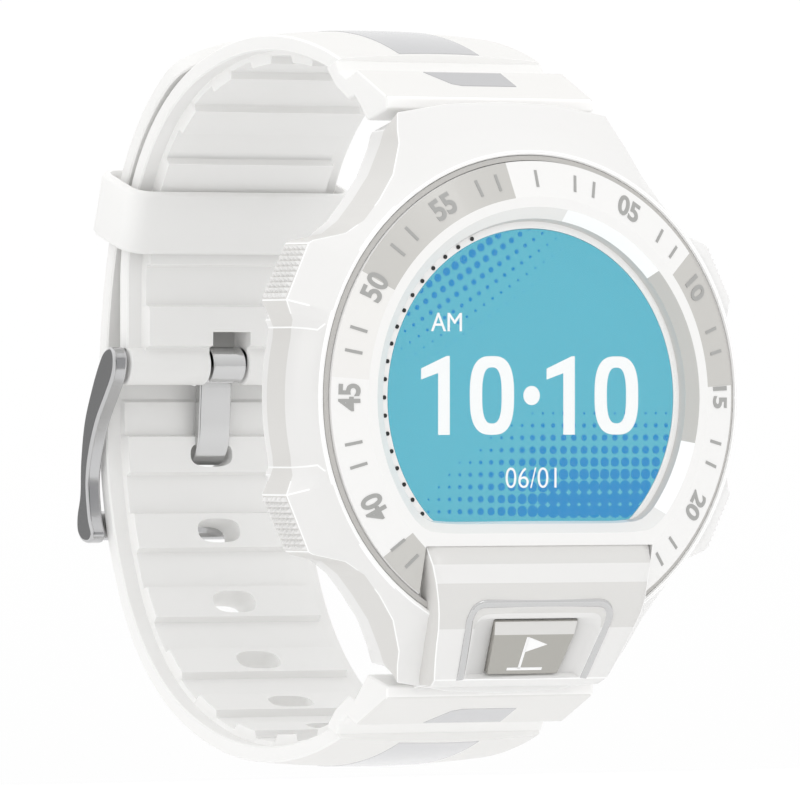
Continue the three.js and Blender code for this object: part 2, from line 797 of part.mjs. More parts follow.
function buckleTongue() {
  const ring = new THREE.Shape();
  ring.absarc(BAR.x, BAR.y, BOSS_R - 0.1, 0, Math.PI * 2, false);
  const leg = polygon([
    [BAR.x + 0.95, BAR.y],
    [BAR.x + 1.85, BAR.y],
    [BAR.x + 1.95, -1.5],
    [BAR.x + 2.3, -3.4],
    [BAR.x + 3.0, -4.9],
    [BAR.x + 4.75, -5.2],
    [BAR.x + 4.75, -6.0],
    [BAR.x + 2.7, -5.9],
    [BAR.x + 1.4, -4.0],
    [BAR.x + 1.0, -1.5],
  ]);
  const whole = joined(
    slab(ring, -TONGUE_HALF, TONGUE_HALF),
    slab(leg, -TONGUE_HALF, TONGUE_HALF),
  );
  return cut(whole, rod(BAR_R + 0.08, -3, 3, BAR.x, BAR.y));
}

// ---- assembly ------------------------------------------------------------------------------
const watch = new THREE.Group();
watch.position.y = -BACK_Y;
watch.add(
  white("outer_shell", outerShell()),
  white("bezel_ring", bezelRing()),
  white("minute_ring", minuteRing()),
  node("display_glass", displayGlass(), GLASS),
  node("display_panel", displayPanel(), SCREEN),
  node("display_bracket", displayBracket(), FOIL),
  node("mid_case", midCase(), SOFT_WHITE),
  node("key_trim", keyTrim(), SILVER),
  node("front_key", frontKey(), KEY_GREY),
  node("key_seal", keySeal(), RUBBER),
  node("key_switch", keySwitch(), BLACK),
  node("main_board", mainBoard(), BOARD),
  node("processor_shield", processorCan(), FOIL),
  node("pressure_sensor", pressureSensor(), FOIL),
  node("gps_antenna", gpsAntenna(), CERAMIC),
  node("battery_cell", batteryCell(), FOIL),
  node("vibration_motor", motorCan(), STEEL),
  node("motor_weight", motorWeight(), STEEL),
  node("sensor_board", sensorBoard(), BOARD),
  node("sensor_window", sensorWindow(), BLACK),
  node("case_gasket", caseGasket(), RUBBER),
  node("case_back", caseBack(), STEEL),
  node("strap_upper", strapUpper(), SOFT_WHITE),
  node("strap_lower", strapLower(), SOFT_WHITE),
  node("upper_long_inlay", longInlay(upperPath, 1), GREY_GLOSS),
  node("lower_long_inlay", longInlay(lowerPath, -1), GREY_GLOSS),
  node("upper_short_inlay", shortInlay(), GREY_GLOSS),
  node("lower_short_inlay", mirrorZ(shortInlay()), GREY_GLOSS),
  node("strap_keeper", strapKeeper(), SOFT_WHITE),
  node("buckle_frame", buckleFrame(), STEEL),
  node("buckle_tongue", buckleTongue(), STEEL),
);
screwSpots.forEach((spot, i) => watch.add(node(`case_screw_${i + 1}`, caseScrew(spot), STEEL)));
contactSpots.forEach((spot, i) => watch.add(node(`charge_contact_${i + 1}`, chargeContact(spot), GOLD)));
const bars = [
  ["upper_lug_bar", 8.4, 10.2, LUG_BAR.x, LUG_BAR.y],
  ["lower_lug_bar", 8.4, 10.2, LUG_BAR.x, -LUG_BAR.y],
  ["buckle_bar", 11.2, 12.2, BAR.x, BAR.y],
];
for (const [name, half, reach, y, z] of bars) {
  watch.add(node(name, barTube(half, y, z), STEEL));
  watch.add(node(`${name}_tip_left`, barTip(-reach, -half + 1.2, y, z), STEEL));
  watch.add(node(`${name}_tip_right`, barTip(half - 1.2, reach, y, z), STEEL));
}

export default watch;
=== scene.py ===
"""A rugged golf GPS watch on a buckled rubber strap: its visible pieces, built round its frame.

Lengths are in millimetres, laid out from the plane of the screen: x to 3 o'clock, y back into the
wrist and z to 12 o'clock. place() turns them into the frame's metres.
"""

from math import asin, atan2, copysign, cos, hypot, inf, pi, sin, sqrt

import bmesh
import bpy
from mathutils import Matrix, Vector

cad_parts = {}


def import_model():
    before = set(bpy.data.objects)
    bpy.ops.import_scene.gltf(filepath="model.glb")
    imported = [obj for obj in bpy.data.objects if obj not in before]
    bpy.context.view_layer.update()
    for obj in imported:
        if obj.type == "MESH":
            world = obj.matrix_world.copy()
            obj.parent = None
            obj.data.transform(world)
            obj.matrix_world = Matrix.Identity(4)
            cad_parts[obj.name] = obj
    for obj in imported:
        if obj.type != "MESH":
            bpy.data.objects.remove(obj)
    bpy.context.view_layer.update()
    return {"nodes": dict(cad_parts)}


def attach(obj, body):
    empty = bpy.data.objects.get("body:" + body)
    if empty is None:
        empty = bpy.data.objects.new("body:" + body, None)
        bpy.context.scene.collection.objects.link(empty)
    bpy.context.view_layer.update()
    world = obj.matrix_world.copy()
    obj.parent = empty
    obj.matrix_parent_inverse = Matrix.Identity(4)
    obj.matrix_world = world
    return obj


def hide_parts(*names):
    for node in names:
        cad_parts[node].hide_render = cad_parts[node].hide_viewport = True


MM = 0.001
BACK_Y = 11.5  # screen plane to the sensor window's outer face
DEG = pi / 180

# Dial and bezel radii, and their depths
SCREEN_R = 15.5
SCREEN_FLAT = -11.4
FOOT_R = 16.15
WALL_R = 16.45
LAND_IN_R = 17.5
LAND_OUT_R = 18.45
CONE_R = 21.75
RIM_IN_R = 22.3
RIM_OUT_R = 22.8
OPENING_FLAT = -12.45
LAND_Y = -1.45
CONE_EDGE_Y = -0.3
NUMERAL_R = 20.15
TICK_R = (19.35, 20.9)
TICK_WIDE = 0.28
DOT_PITCH = 1.125  # of the pattern on the screen

# Strap
STRAP_HALF = 11.0
STRAP_CROWN = 0.5
PAD_HALF = 9.3
SKIN = 1.5
PAD = 0.4
RIB = 0.7
OUTER_POINTS = 15  # across the outer face of the strap's section
RIB_PITCH = 8.0
RIB_LENGTH = 3.9
BAR = (56.0, 3.1)  # y, z of the buckle's bar
KEEPER_ARC = (34.29, 10.85)  # centre of the strap's rear curve


# ---- materials ----
def fill(node, **values):
    """Sets a node's inputs, named with underscores for spaces."""
    for name, value in values.items():
        node.inputs[name.replace("_", " ")].default_value = value


def finish(name, colour, roughness, metallic=0.0, coat=0.0, grain=0.0, grain_size=9000):
    """A procedural finish: plain colour, with a fine grain bump and a little roughness mottle."""
    material = bpy.data.materials.new(name)
    material.use_nodes = True
    nodes, links = material.node_tree.nodes, material.node_tree.links
    shader = nodes["Principled BSDF"]
    fill(shader, Base_Color=(*colour, 1), Metallic=metallic, Coat_Weight=coat, Coat_Roughness=0.08)
    place_on = nodes.new("ShaderNodeTexCoord")
    noise = nodes.new("ShaderNodeTexNoise")
    fill(noise, Scale=grain_size)
    links.new(place_on.outputs["Object"], noise.inputs["Vector"])
    mottle = nodes.new("ShaderNodeMapRange")
    fill(mottle, To_Min=roughness * 0.92, To_Max=roughness * 1.08)
    links.new(noise.outputs["Fac"], mottle.inputs["Value"])
    links.new(mottle.outputs["Result"], shader.inputs["Roughness"])
    if grain:
        bump = nodes.new("ShaderNodeBump")
        fill(bump, Strength=grain, Distance=0.00002)
        links.new(noise.outputs["Fac"], bump.inputs["Height"])
        links.new(bump.outputs["Normal"], shader.inputs["Normal"])
    return material


def lit(name, colour):
    """Part of a lit screen: about half of its colour shines and half is reflected."""
    material = finish(name, tuple(0.45 * c for c in colour), 0.25)
    shader = material.node_tree.nodes["Principled BSDF"]
    fill(shader, Specular_IOR_Level=0.15, Emission_Color=(*colour, 1), Emission_Strength=0.5)
    return material


def make_materials():
    """Every finish, by the name that the rest of the script uses."""
    clear = finish("screen_glass", (1, 1, 1), 0.03)
    fill(clear.node_tree.nodes["Principled BSDF"], Alpha=0.02, Specular_IOR_Level=0.15)
    return {
        # painted highlight: a brighter white on the case's rounded edges and on bands of the
        # bezel's inner bevel
        "case_painted_highlight": finish("case_painted_highlight_white", (0.97, 0.97, 0.965), 0.2, coat=0.3),
        "case": finish("case_white", (0.78, 0.775, 0.765), 0.32, coat=0.1, grain=0.05),
        # painted shade on bands of the key housing's face; it also gives the key cap its paler
        # chamfer
        "case_painted_shading": finish("case_painted_shading", (0.68, 0.672, 0.655), 0.32, coat=0.1, grain=0.05),
        # painted shade on the side walls of the case and of the key's housing
        "case_wall_painted_shade": finish("case_side_painted_shade", (0.67, 0.66, 0.64), 0.4, grain=0.05),
        "bezel": finish("bezel_white", (0.84, 0.835, 0.825), 0.25, coat=0.2),
        # painted reflection and shade: bands of the bezel in paler and darker greys, and the
        # opening's wall in shade
        "bezel_painted_soft_shade": finish("bezel_painted_soft_shade", (0.8, 0.79, 0.77), 0.25, coat=0.2),
        "bezel_painted_deep_shade": finish("bezel_painted_deep_shade", (0.54, 0.53, 0.505), 0.25, coat=0.2),
        "bezel_wall_painted_shade": finish("bezel_wall_painted_shade_grey", (0.58, 0.57, 0.55), 0.35),
        "groove": finish("groove_grey", (0.5, 0.49, 0.47), 0.5),
        "marks": finish("engraved_grey", (0.36, 0.36, 0.35), 0.5),
        "dots": finish("dot_black", (0.01, 0.01, 0.01), 0.6),
        # painted highlight on the strap's rounded edges and on the front step of each block
        "strap_painted_highlight": finish("strap_painted_highlight_white", (0.97, 0.965, 0.955), 0.4),
        "strap": finish("strap_white", (0.88, 0.876, 0.864), 0.5, grain=0.12, grain_size=14000),
        # painted shade on the strap's outer face and on each block's outer slope
        "strap_painted_shade": finish(
            "strap_painted_shade", (0.78, 0.773, 0.757), 0.5, grain=0.12, grain_size=14000
        ),
        "inlay": finish("inlay_grey", (0.42, 0.42, 0.43), 0.2, coat=0.2),
        # a paler copy of the inlay grey, painted light, for the lower inlays, which face downwards
        "inlay_painted_light": finish("inlay_painted_light", (0.56, 0.56, 0.57), 0.2, coat=0.2),
        "silver": finish("silver_trim", (0.58, 0.58, 0.58), 0.14, metallic=1),
        "steel": finish("buckle_steel", (0.52, 0.52, 0.525), 0.13, metallic=1),
        "key": finish("key_grey", (0.4, 0.39, 0.36), 0.35),
        "key_mark": finish("key_mark_white", (0.9, 0.9, 0.9), 0.4),
        "cyan": lit("screen_cyan", (0.1, 0.47, 0.6)),
        "blue": lit("screen_blue", (0.012, 0.26, 0.58)),
        "figures": lit("screen_white", (0.95, 0.97, 0.97)),
        "glass": clear,
        "sensor": finish("sensor_dark", (0.012, 0.012, 0.015), 0.08, coat=0.6),
        "plate": finish("back_steel", (0.5, 0.5, 0.51), 0.32, metallic=1, grain=0.2),
        "gold": finish("contact_gold", (0.9, 0.66, 0.28), 0.2, metallic=1),
        "board": finish("circuit_green", (0.02, 0.13, 0.06), 0.4, coat=0.4, grain=0.3),
        "foil": finish("foil", (0.6, 0.6, 0.61), 0.3, metallic=1, grain=0.3),
        "seal": finish("seal_rubber", (0.03, 0.03, 0.03), 0.7, grain=0.3),
        "ceramic": finish("antenna_ceramic", (0.62, 0.55, 0.4), 0.5, grain=0.3),
        "black": finish("black_plastic", (0.02, 0.02, 0.02), 0.5, grain=0.3),
        "led": finish("sensor_led", (0.1, 0.6, 0.2), 0.2, coat=0.5),
    }


# ---- mesh helpers ----
def place(point):
    """A millimetre point from the screen's plane as metres in the frame."""
    x, y, z = point
    return (x * MM, (y - BACK_Y) * MM, z * MM)


def add(name, data):
    """Puts a new object in the scene."""
    obj = bpy.data.objects.new(name, data)
    bpy.context.collection.objects.link(obj)
    return obj


def piece(name, points, faces, finishes, body="watch", replaces=(), painted_shading_by_face=None):
    """A mesh of millimetre points that rides on a body. finishes is one material or a list, and the
    list given per face picks each face's finish to lay on painted highlights and shade.
    """
    mesh = bpy.data.meshes.new(name)
    mesh.from_pydata([place(p) for p in points], [], faces)
    mesh.validate()
    for material in finishes if isinstance(finishes, list) else [finishes]:
        mesh.materials.append(material)
    if painted_shading_by_face:
        for polygon, index in zip(mesh.polygons, painted_shading_by_face):
            polygon.material_index = index
    outward(mesh)
    mesh.shade_smooth()
    obj = add(name, mesh)
    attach(obj, body)
    if replaces:
        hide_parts(*replaces)
    return obj


def outward(mesh):
    """Turns the mesh's faces to point out."""
    shape = bmesh.new()
    shape.from_mesh(mesh)
    bmesh.ops.recalc_face_normals(shape, faces=shape.faces)
    shape.to_mesh(mesh)
    shape.free()


def soften(obj, width, segments=3, angle=30, edge=-1):
    """Rounds every edge sharper than the angle. edge is the place in the list of a brighter finish
    painted on the rounded faces as a highlight.
    """
    bevel = obj.modifiers.new("edges", "BEVEL")
    bevel.limit_method = "ANGLE"
    bevel.angle_limit = angle * DEG
    bevel.width = width * MM
    bevel.segments = segments
    bevel.harden_normals = True
    bevel.use_clamp_overlap = True
    bevel.material = edge


def crisp(obj, angle=32):
    """Keeps every edge sharper than the angle sharp in the shading."""
    obj.data.set_sharp_from_angle(angle=angle * DEG)
    return obj


def cut(obj, cutter):
    """Cuts one object away from another, then drops the cutter."""
    carve = obj.modifiers.new("cut", "BOOLEAN")
    carve.operation = "DIFFERENCE"
    carve.solver = "EXACT"
    carve.object = cutter
    bake(obj)
    bpy.data.objects.remove(cutter)


def bake(obj):
    """Applies the modifiers that obj has so far."""
    graph = bpy.context.evaluated_depsgraph_get()
    made = bpy.data.meshes.new_from_object(obj.evaluated_get(graph), depsgraph=graph)
    obj.modifiers.clear()
    obj.data = made


def loft(rings, closed_path=False):
    """Points and faces of a skin through rings of equal length, capped unless it closes up."""
    count, sides = len(rings), len(rings[0])
    points = [p for ring in rings for p in ring]
    faces = []
    for i in range(count if closed_path else count - 1):
        here, there = i * sides, (i + 1) % count * sides
        for j in range(sides):
            k = (j + 1) % sides
            faces.append((here + j, here + k, there + k, there + j))
    if not closed_path:
        faces.append(tuple(range(sides)))
        faces.append(tuple(range((count - 1) * sides, count * sides)))
    return points, faces


def prism(outline, start, end, axis):
    """Points and faces of a flat outline pushed along an axis ("x" or "y")."""
    if axis == "x":
        rings = [[(at, a, b) for a, b in outline] for at in (start, end)]
    else:
        rings = [[(a, at, b) for a, b in outline] for at in (start, end)]
    return loft(rings)


def polar(radius, angle):
    """The point at a radius in one direction."""
    return radius * cos(angle), radius * sin(angle)


def around(angle, profile):
    """A [radius, y] profile stood up in one direction of the dial."""
    return [(r * cos(angle), y, r * sin(angle)) for r, y in profile]


def turned(profile, steps=144):
    """A closed [radius, y] profile turned round the dial's axis."""
    return loft([around(360 * i / steps * DEG, profile) for i in range(steps)], closed_path=True)


def circle(radius, x=0.0, z=0.0, steps=32):
    """A round outline."""
    angles = (360 * i / steps * DEG for i in range(steps))
    return [(x + radius * cos(a), z + radius * sin(a)) for a in angles]


def disc(radius, y0, y1, x=0.0, z=0.0, steps=32):
    """A round plate from one depth to another."""
    return prism(circle(radius, x, z, steps), y0, y1, "y")


def mix(a, b, t):
    """The number at share t of the way from a to b."""
    return a + (b - a) * t


def smooth_outline(points, steps=5):
    """A closed outline through the points, rounded with Catmull-Rom curves."""
    count = len(points)
    out = []
    for i in range(count):
        a, b, c, d = (Vector(points[(i + k) % count]) for k in (-1, 0, 1, 2))
        for j in range(steps):
            t = j / steps
            spot = 0.5 * (
                2 * b + (c - a) * t + (2 * a - 5 * b + 4 * c - d) * t * t
                + (3 * b - a - 3 * c + d) * t ** 3
            )
            out.append(tuple(spot))
    return out


def merged(*shapes):
    """Several (points, faces) as one."""
    points, faces = [], []
    for more_points, more_faces in shapes:
        start = len(points)
        points += more_points
        faces += [tuple(start + i for i in face) for face in more_faces]
    return points, faces


# ---- strap paths ----
class Path:
    """A path in the y-z plane: a start, a heading and bends of (radius, degrees)."""

    def __init__(self, start, heading, bends):
        self.pieces = []
        point, angle, length = start, heading * DEG, 0.0
        for radius, amount in bends:
            turn = 0.0 if radius == inf else amount * DEG
            span = amount if radius == inf else abs(turn) * radius
            self.pieces.append((point, angle, turn, span, length))
            point = self.along(self.pieces[-1], span)
            angle += turn
            length += span
        self.length = length

    @staticmethod
    def along(part, t):
        (y, z), angle, turn, span, _ = part
        if turn == 0:
            return y + cos(angle) * t, z + sin(angle) * t
        radius = span / turn
        facing = angle + t / radius
        return (
            y + radius * (sin(facing) - sin(angle)),
            z - radius * (cos(facing) - cos(angle)),
        )

    def at(self, s):
        """y, z and heading at distance s."""
        part = next((p for p in reversed(self.pieces) if s >= p[4] - 1e-9), self.pieces[0])
        t = s - part[4]
        y, z = self.along(part, t)
        return y, z, part[1] + part[2] * t / part[3]

    def inside(self, s, depth, side):
        """The point at distance s, depth in towards the wrist. side is 1 if that is rightwards."""
        y, z, facing = self.at(s)
        return y + side * depth * sin(facing), z - side * depth * cos(facing)


UPPER = Path((15.97, 31.44), 21.25, [(37.6, -21.25), (34.2, -23), (22.2, -67), (inf, 7.7)])
TAIL = [(49.7, 22), (24.35, 52)]  # the bends of the tail, which lies along the upper strap
LOWER = Path(
    (15.97, -31.6), -21.1, [(39, 21.1), (35, 24), (25, 40), (39, 26), (inf, 3.5), *TAIL]
)
TAIL_BEND = LOWER.length - sum(radius * bend * DEG for radius, bend in TAIL)
TONGUE_HOLE = TAIL_BEND - 7.0


# ---- case ----
# Corners of the case seen from the front, for its upper right quarter: x, z, the depth of the
# front edge, then how far in and how deep the side's lower, heel and back edges lie.
HOOD = ((0.7, 6.05), (2.5, 8.7), (3.2, 9.3))
WALL = ((0.0, 6.6), (0.1, 8.7), (0.5, 9.3))
GRIP = ((0.0, 7.9), (1.7, 8.15), (2.5, 9.3))
SIDE = ((0.0, 7.9), (0.0, 8.8), (0.6, 9.3))
CASE_CORNERS = [
    (0.0, 27.3, 5.0, HOOD),
    (6.0, 27.05, 5.05, HOOD),
    (11.35, 26.2, 5.15, HOOD),
    (11.9, 24.6, 4.2, WALL),
    (12.3, 23.3, 3.26, WALL),
    (13.6, 20.4, 2.2, WALL),
    (15.28, 18.1, 1.83, WALL),
    (16.9, 16.2, 1.83, WALL),
    (18.6, 15.0, 2.4, WALL),
    (21.3, 14.35, 3.7, GRIP),
    (21.7, 14.1, 3.75, GRIP),
    (24.2, 8.9, 3.5, GRIP),
]
NOTCH_R = 24.0  # the side recess between the grips
NOTCH_HALF = 6.4
CASE_WALL = 9  # the side wall's place in the case's section; the wall is painted grey as shade
CASE_BORE = 20.6
CASE_BACK = 9.3


def case_ring():
    """Corners of the whole case outline, anticlockwise from 12 o'clock."""
    notch = [(23.3, 7.1, 3.9, SIDE), (22.95, NOTCH_HALF, 4.7, SIDE)]
    for i in range(1, 7):
        z = NOTCH_HALF - i * NOTCH_HALF / 6
        notch.append((sqrt(NOTCH_R**2 - z * z) - 0.35, z, 4.7, SIDE))
    middle = notch.pop()
    quarter = CASE_CORNERS + notch
    right = [*quarter, middle] + [(x, -z, y, s) for x, z, y, s in reversed(quarter)]
    left = [(-x, z, y, s) for x, z, y, s in reversed(right[1:-1])]
    return right + left


def case_outline_at(angle):
    """Radius, front depth and side edges of the case outline in a direction."""
    ring = case_ring()
    ray = (cos(angle), sin(angle))
    for a, b in zip(ring, ring[1:] + ring[:1]):
        dx, dz = b[0] - a[0], b[1] - a[1]
        across = ray[0] * dz - ray[1] * dx
        if abs(across) < 1e-9:
            continue
        r = (a[0] * dz - a[1] * dx) / across
        t = (a[0] * ray[1] - a[1] * ray[0]) / across
        if r > 0 and -1e-6 <= t <= 1 + 1e-6:
            side = [(mix(p[0], q[0], t), mix(p[1], q[1], t)) for p, q in zip(a[3], b[3])]
            return r, mix(a[2], b[2], t), side
    raise ValueError(angle)


def case_profile(angle):
    """The case's section in one direction, as [radius, y] from the bore round to the back."""
    r, front, (low, heel, back) = case_outline_at(angle)
    if abs(r * sin(angle)) < 6.5 and r < 24.5:
        steps = [(RIM_OUT_R + 0.12, 1.5), (RIM_OUT_R + 0.6, 2.6)]
    else:
        steps = [(mix(RIM_OUT_R, r, t), front * fall) for t, fall in ((0.06, 0.14), (0.5, 0.52))]
    return [
        (CASE_BORE, CASE_BACK), (CASE_BORE, 1.0), (RIM_IN_R, 1.0), (RIM_IN_R, 0.18),
        (RIM_IN_R + 0.16, 0.0), (RIM_OUT_R - 0.12, 0.0), (RIM_OUT_R, 0.12), *steps, (r, front),
        (r - low[0], low[1]), (r - heel[0], heel[1]), (r - back[0], back[1]),
    ]


def case_angles():
    """Directions to cut the case in: every corner, and steps in between."""
    corners = [atan2(z, x) % (2 * pi) for x, z, _, _ in case_ring()]
    even = [i * 3 * DEG for i in range(120)]
    kept = [a for a in even if all(abs(a - c) > 0.8 * DEG for c in corners)]
    return sorted(kept + corners)


def build_case(m):
    """The outer shell and the ring of the middle case that shows inside it."""
    rings = [around(angle, case_profile(angle)) for angle in case_angles()]
    points, faces = loft(rings, closed_path=True)
    sides = len(rings[0])
    # the side wall all round takes the painted shade
    tones = [1 if i % sides == CASE_WALL else 0 for i in range(len(faces))]
    shell = piece(
        "outer_shell", points, faces, [m["case"], m["case_wall_painted_shade"], m["case_painted_highlight"]],
        replaces=["outer_shell"], painted_shading_by_face=tones,
    )
    # the rounded edges take the brighter white as a painted highlight
    soften(shell, 0.2, 2, 24, edge=2)
    for sx in (1, -1):
        for sz in (1, -1):
            knurl(m, sx, sz)
    mid = turned([(19.2, 2.0), (20.4, 1.2), (20.4, 9.2), (19.2, 9.2)])
    return shell, crisp(piece("mid_case_ring", *mid, m["case"]))


def knurl(m, sx, sz):
    """Small pyramids on the outer face of one corner grip."""
    across, down = 10, 5
    front, depth = 3.75, 4.0
    sunk, raised = 0.12, 0.42
    a, b = Vector((21.75, 13.95)), Vector((24.15, 9.1))
    out = Vector((a.y - b.y, b.x - a.x)).normalized()
    shapes = []
    for i in range(across):
        for j in range(down):
            corners = []
            for di, dj in ((0, 0), (1, 0), (1, 1), (0, 1)):
                spot = a.lerp(b, (i + di) / across) - out * sunk
                corners.append((spot.x, front + (j + dj) * depth / down, spot.y))
            top = a.lerp(b, (i + 0.5) / across) + out * raised
            peak = (top.x, front + (j + 0.5) * depth / down, top.y)
            slopes = [(0, 1, 4), (1, 2, 4), (2, 3, 4), (3, 0, 4), (3, 2, 1, 0)]
            shapes.append(([*corners, peak], slopes))
    points, faces = merged(*shapes)
    points = [(sx * x, y, sz * z) for x, y, z in points]
    side = ("right" if sx > 0 else "left") + ("_upper" if sz > 0 else "_lower")
    crisp(piece(f"grip_knurl_{side}", points, faces, m["case"]), 10)


# ---- bezel ----
def opening_radius(r, angle, fillet=2.6):
    """The bezel's opening in one direction: round, with a flat foot and filleted corners."""
    drop = sin(angle)
    if drop >= 0:
        return r
    flat = OPENING_FLAT + (LAND_IN_R - r) * 0.8
    straight = flat / drop
    gap = straight - r
    if abs(gap) < fillet:
        low = min(r, straight)
        return low - (fillet - abs(gap)) ** 2 / (4 * fillet) * 0.55
    return min(r, straight)


def bezel_profile(angle):
    """The bezel's section in one direction, as [radius, y] from its foot out over the cone."""
    wall = opening_radius(WALL_R, angle)
    land = opening_radius(LAND_IN_R, angle)
    foot = wall - (WALL_R - FOOT_R)
    return [
        (foot, 0.9),
        (foot, 0.15),
        (wall, -0.68),
        (land, LAND_Y),
        (max(LAND_OUT_R, land + 0.3), LAND_Y + 0.02),
        (CONE_R, CONE_EDGE_Y),
        (CONE_R, 0.95),
    ]


# Facets painted lighter or darker as reflection and shade, in degrees clockwise from 12, by their
# place in the section: the opening's wall, the inner bevel and the cone.
FACETS = {
    1: [(-30, 138, "bezel_wall_painted_shade")],
    2: [
        (-180, 10, "bezel_painted_soft_shade"), (10, 48, "case_painted_highlight"), (48, 104, "bezel_painted_deep_shade"),
        (104, 128, "case_painted_highlight"), (128, 180, "bezel_painted_soft_shade"),
    ],
    4: [
        (-180, -132, "bezel_painted_deep_shade"), (-85, -58, "bezel_painted_soft_shade"), (-58, -8, "bezel_painted_deep_shade"),
        (52, 87, "bezel_painted_deep_shade"), (150, 180, "bezel_painted_deep_shade"),
    ],
}
BEZEL_FINISHES = ["bezel", "bezel_painted_deep_shade", "bezel_painted_soft_shade", "bezel_wall_painted_shade", "case_painted_highlight"]


def facet_painted_shading(place_in_section, turn):
    """Which of the bezel's finishes a facet has: its plain white, unless a band of painted
    reflection and shade covers it.
    """
    for start, end, name in FACETS.get(place_in_section, []):
        if start <= turn < end:
            return BEZEL_FINISHES.index(name)
    return 0


def build_bezel(m):
    """The bezel ring, cut away above the key, and the dark groove round it."""
    marks = {turn for row in FACETS.values() for start, end, _ in row for turn in (start, end)}
    turns = sorted(({i * 2.0 for i in range(-90, 90)} | marks) - {180})
    rings = [around((90 - turn) * DEG, bezel_profile((90 - turn) * DEG)) for turn in turns]
    points, faces = loft(rings, closed_path=True)
    # the facets' bands of painted reflection and shade
    tones = [facet_painted_shading(side, turn + 0.5) for turn in turns for side in range(len(rings[0]))]
    bezel = piece(
        "bezel_ring", points, faces, [m[name] for name in BEZEL_FINISHES],
        replaces=["bezel_ring"], painted_shading_by_face=tones,
    )
    gap = [(-12.3, -13.6), (12.3, -13.6), (12.3, -24), (-12.3, -24)]
    cut(bezel, piece("cutter", *prism(gap, -4, 3, "y"), m["bezel"]))
    crisp(bezel, 12)
    inner, outer = CONE_R + 0.06, RIM_IN_R - 0.04
    groove = turned([(inner, 0.05), (outer, 0.2), (outer, 0.95), (inner, 0.95)])
    groove = crisp(piece("bezel_groove", *groove, m["groove"]))
    build_numerals(m)
    return bezel, groove


def cone_point(r, turn, lift):
    """A point on the bezel's lettering cone, turned clockwise from 12 o'clock."""
    slope = (CONE_EDGE_Y - LAND_Y) / (CONE_R - LAND_OUT_R)
    angle = (90 - turn) * DEG
    return (r * cos(angle), LAND_Y + (r - LAND_OUT_R) * slope - lift, r * sin(angle))


def build_numerals(m):
    """Minute numerals and ticks round the bezel, in place of lettering."""
    for minute in range(5, 60, 5):
        turn = (minute * 6 + 180) % 360 - 180
        if abs(turn) <= 140:
            text_on_cone(m, f"{minute:02d}", turn)
    ticks = []
    low_r, high_r = TICK_R
    for minute in range(-23, 24):
        if minute % 5 in (0, 1, 4) and minute != 0:
            continue
        corners = []
        for r, side in ((low_r, -1), (low_r, 1), (high_r, 1), (high_r, -1)):
            corners.append((r, minute * 6 + side * TICK_WIDE / r / DEG / 2))
        rings = [[cone_point(r, t, lift) for r, t in corners] for lift in (-0.05, 0.035)]
        ticks.append(loft(rings))
    crisp(piece("bezel_ticks", *merged(*ticks), m["marks"]))


def text_mesh(words, size, bold=0.0):
    """Text as a thin mesh, x across and y up, centred on its own box, and the box's size."""
    curve = bpy.data.curves.new("words", "FONT")
    curve.body = words
    curve.size = size
    curve.align_x = "CENTER"
    curve.offset = bold
    curve.extrude = 0.05
    holder = add("words", curve)
    graph = bpy.context.evaluated_depsgraph_get()
    mesh = bpy.data.meshes.new_from_object(holder.evaluated_get(graph), depsgraph=graph)
    points = [v.co.copy() for v in mesh.vertices]
    faces = [tuple(p.vertices) for p in mesh.polygons]
    bpy.data.objects.remove(holder)
    bpy.data.meshes.remove(mesh)
    low = Vector(min(p[i] for p in points) for i in range(3))
    high = Vector(max(p[i] for p in points) for i in range(3))
    middle = (low + high) / 2
    return [p - middle for p in points], faces, high - low


def text_on_cone(m, words, turn):
    """A numeral on the cone, upright along the radius, its foot towards the dial."""
    points, faces, _ = text_mesh(words, 2.6, 0.07)
    bent = [
        cone_point(NUMERAL_R + p.y, turn + p.x / NUMERAL_R / DEG, p.z * 0.8) for p in points
    ]
    crisp(piece(f"numeral_{words}", bent, faces, m["marks"]))


# ---- dial ----
def screen_outline(radius, flat, steps=96):
    """A round outline with a flat foot at a height."""
    corner = asin(flat / radius)
    angles = (corner + (pi - 2 * corner) * i / steps for i in range(steps + 1))
    return [polar(radius, a) for a in angles]


def flat_footed(radius, flat, angle):
    """The radius in one direction of a ring with a flat foot at a height."""
    drop = sin(angle)
    return min(radius, flat / drop) if drop < -0.5 else radius


def build_minute_ring(m):
    """The white ring round the screen, with black dots down its left side."""
    rings = []
    for angle in (i * 2.5 * DEG for i in range(144)):
        inner = flat_footed(SCREEN_R + 0.05, SCREEN_FLAT, angle)
        outer = flat_footed(FOOT_R + 0.4, -13.0, angle)
        rings.append(around(angle, ((inner, 0.0), (outer, 0.05), (outer, 0.9), (inner, 0.9))))
    ring = loft(rings, closed_path=True)
    crisp(piece("minute_ring", *ring, m["bezel"], replaces=["minute_ring"]))
    dots = []
    for i in range(19):
        dots.append(disc(0.2, -0.06, 0.02, *polar(15.9, (114 + i * 6) * DEG), 14))
    crisp(piece("minute_dots", *merged(*dots), m["dots"]))


def build_dial(m):
    """The screen under its glass, the minute ring and what the screen shows."""
    lit_area = prism(screen_outline(SCREEN_R - 0.02, SCREEN_FLAT + 0.02), 0.0, 1.4, "y")
    crisp(piece("display_panel", *lit_area, m["cyan"], replaces=["display_panel"]))
    cover = prism(screen_outline(SCREEN_R + 0.2, SCREEN_FLAT - 0.3), -0.3, -0.18, "y")
    crisp(piece("display_glass", *cover, m["glass"], replaces=["display_glass"]))
    build_minute_ring(m)
    crisp(piece("screen_halftone", *merged(*halftone()), m["blue"]))
    build_figures(m)


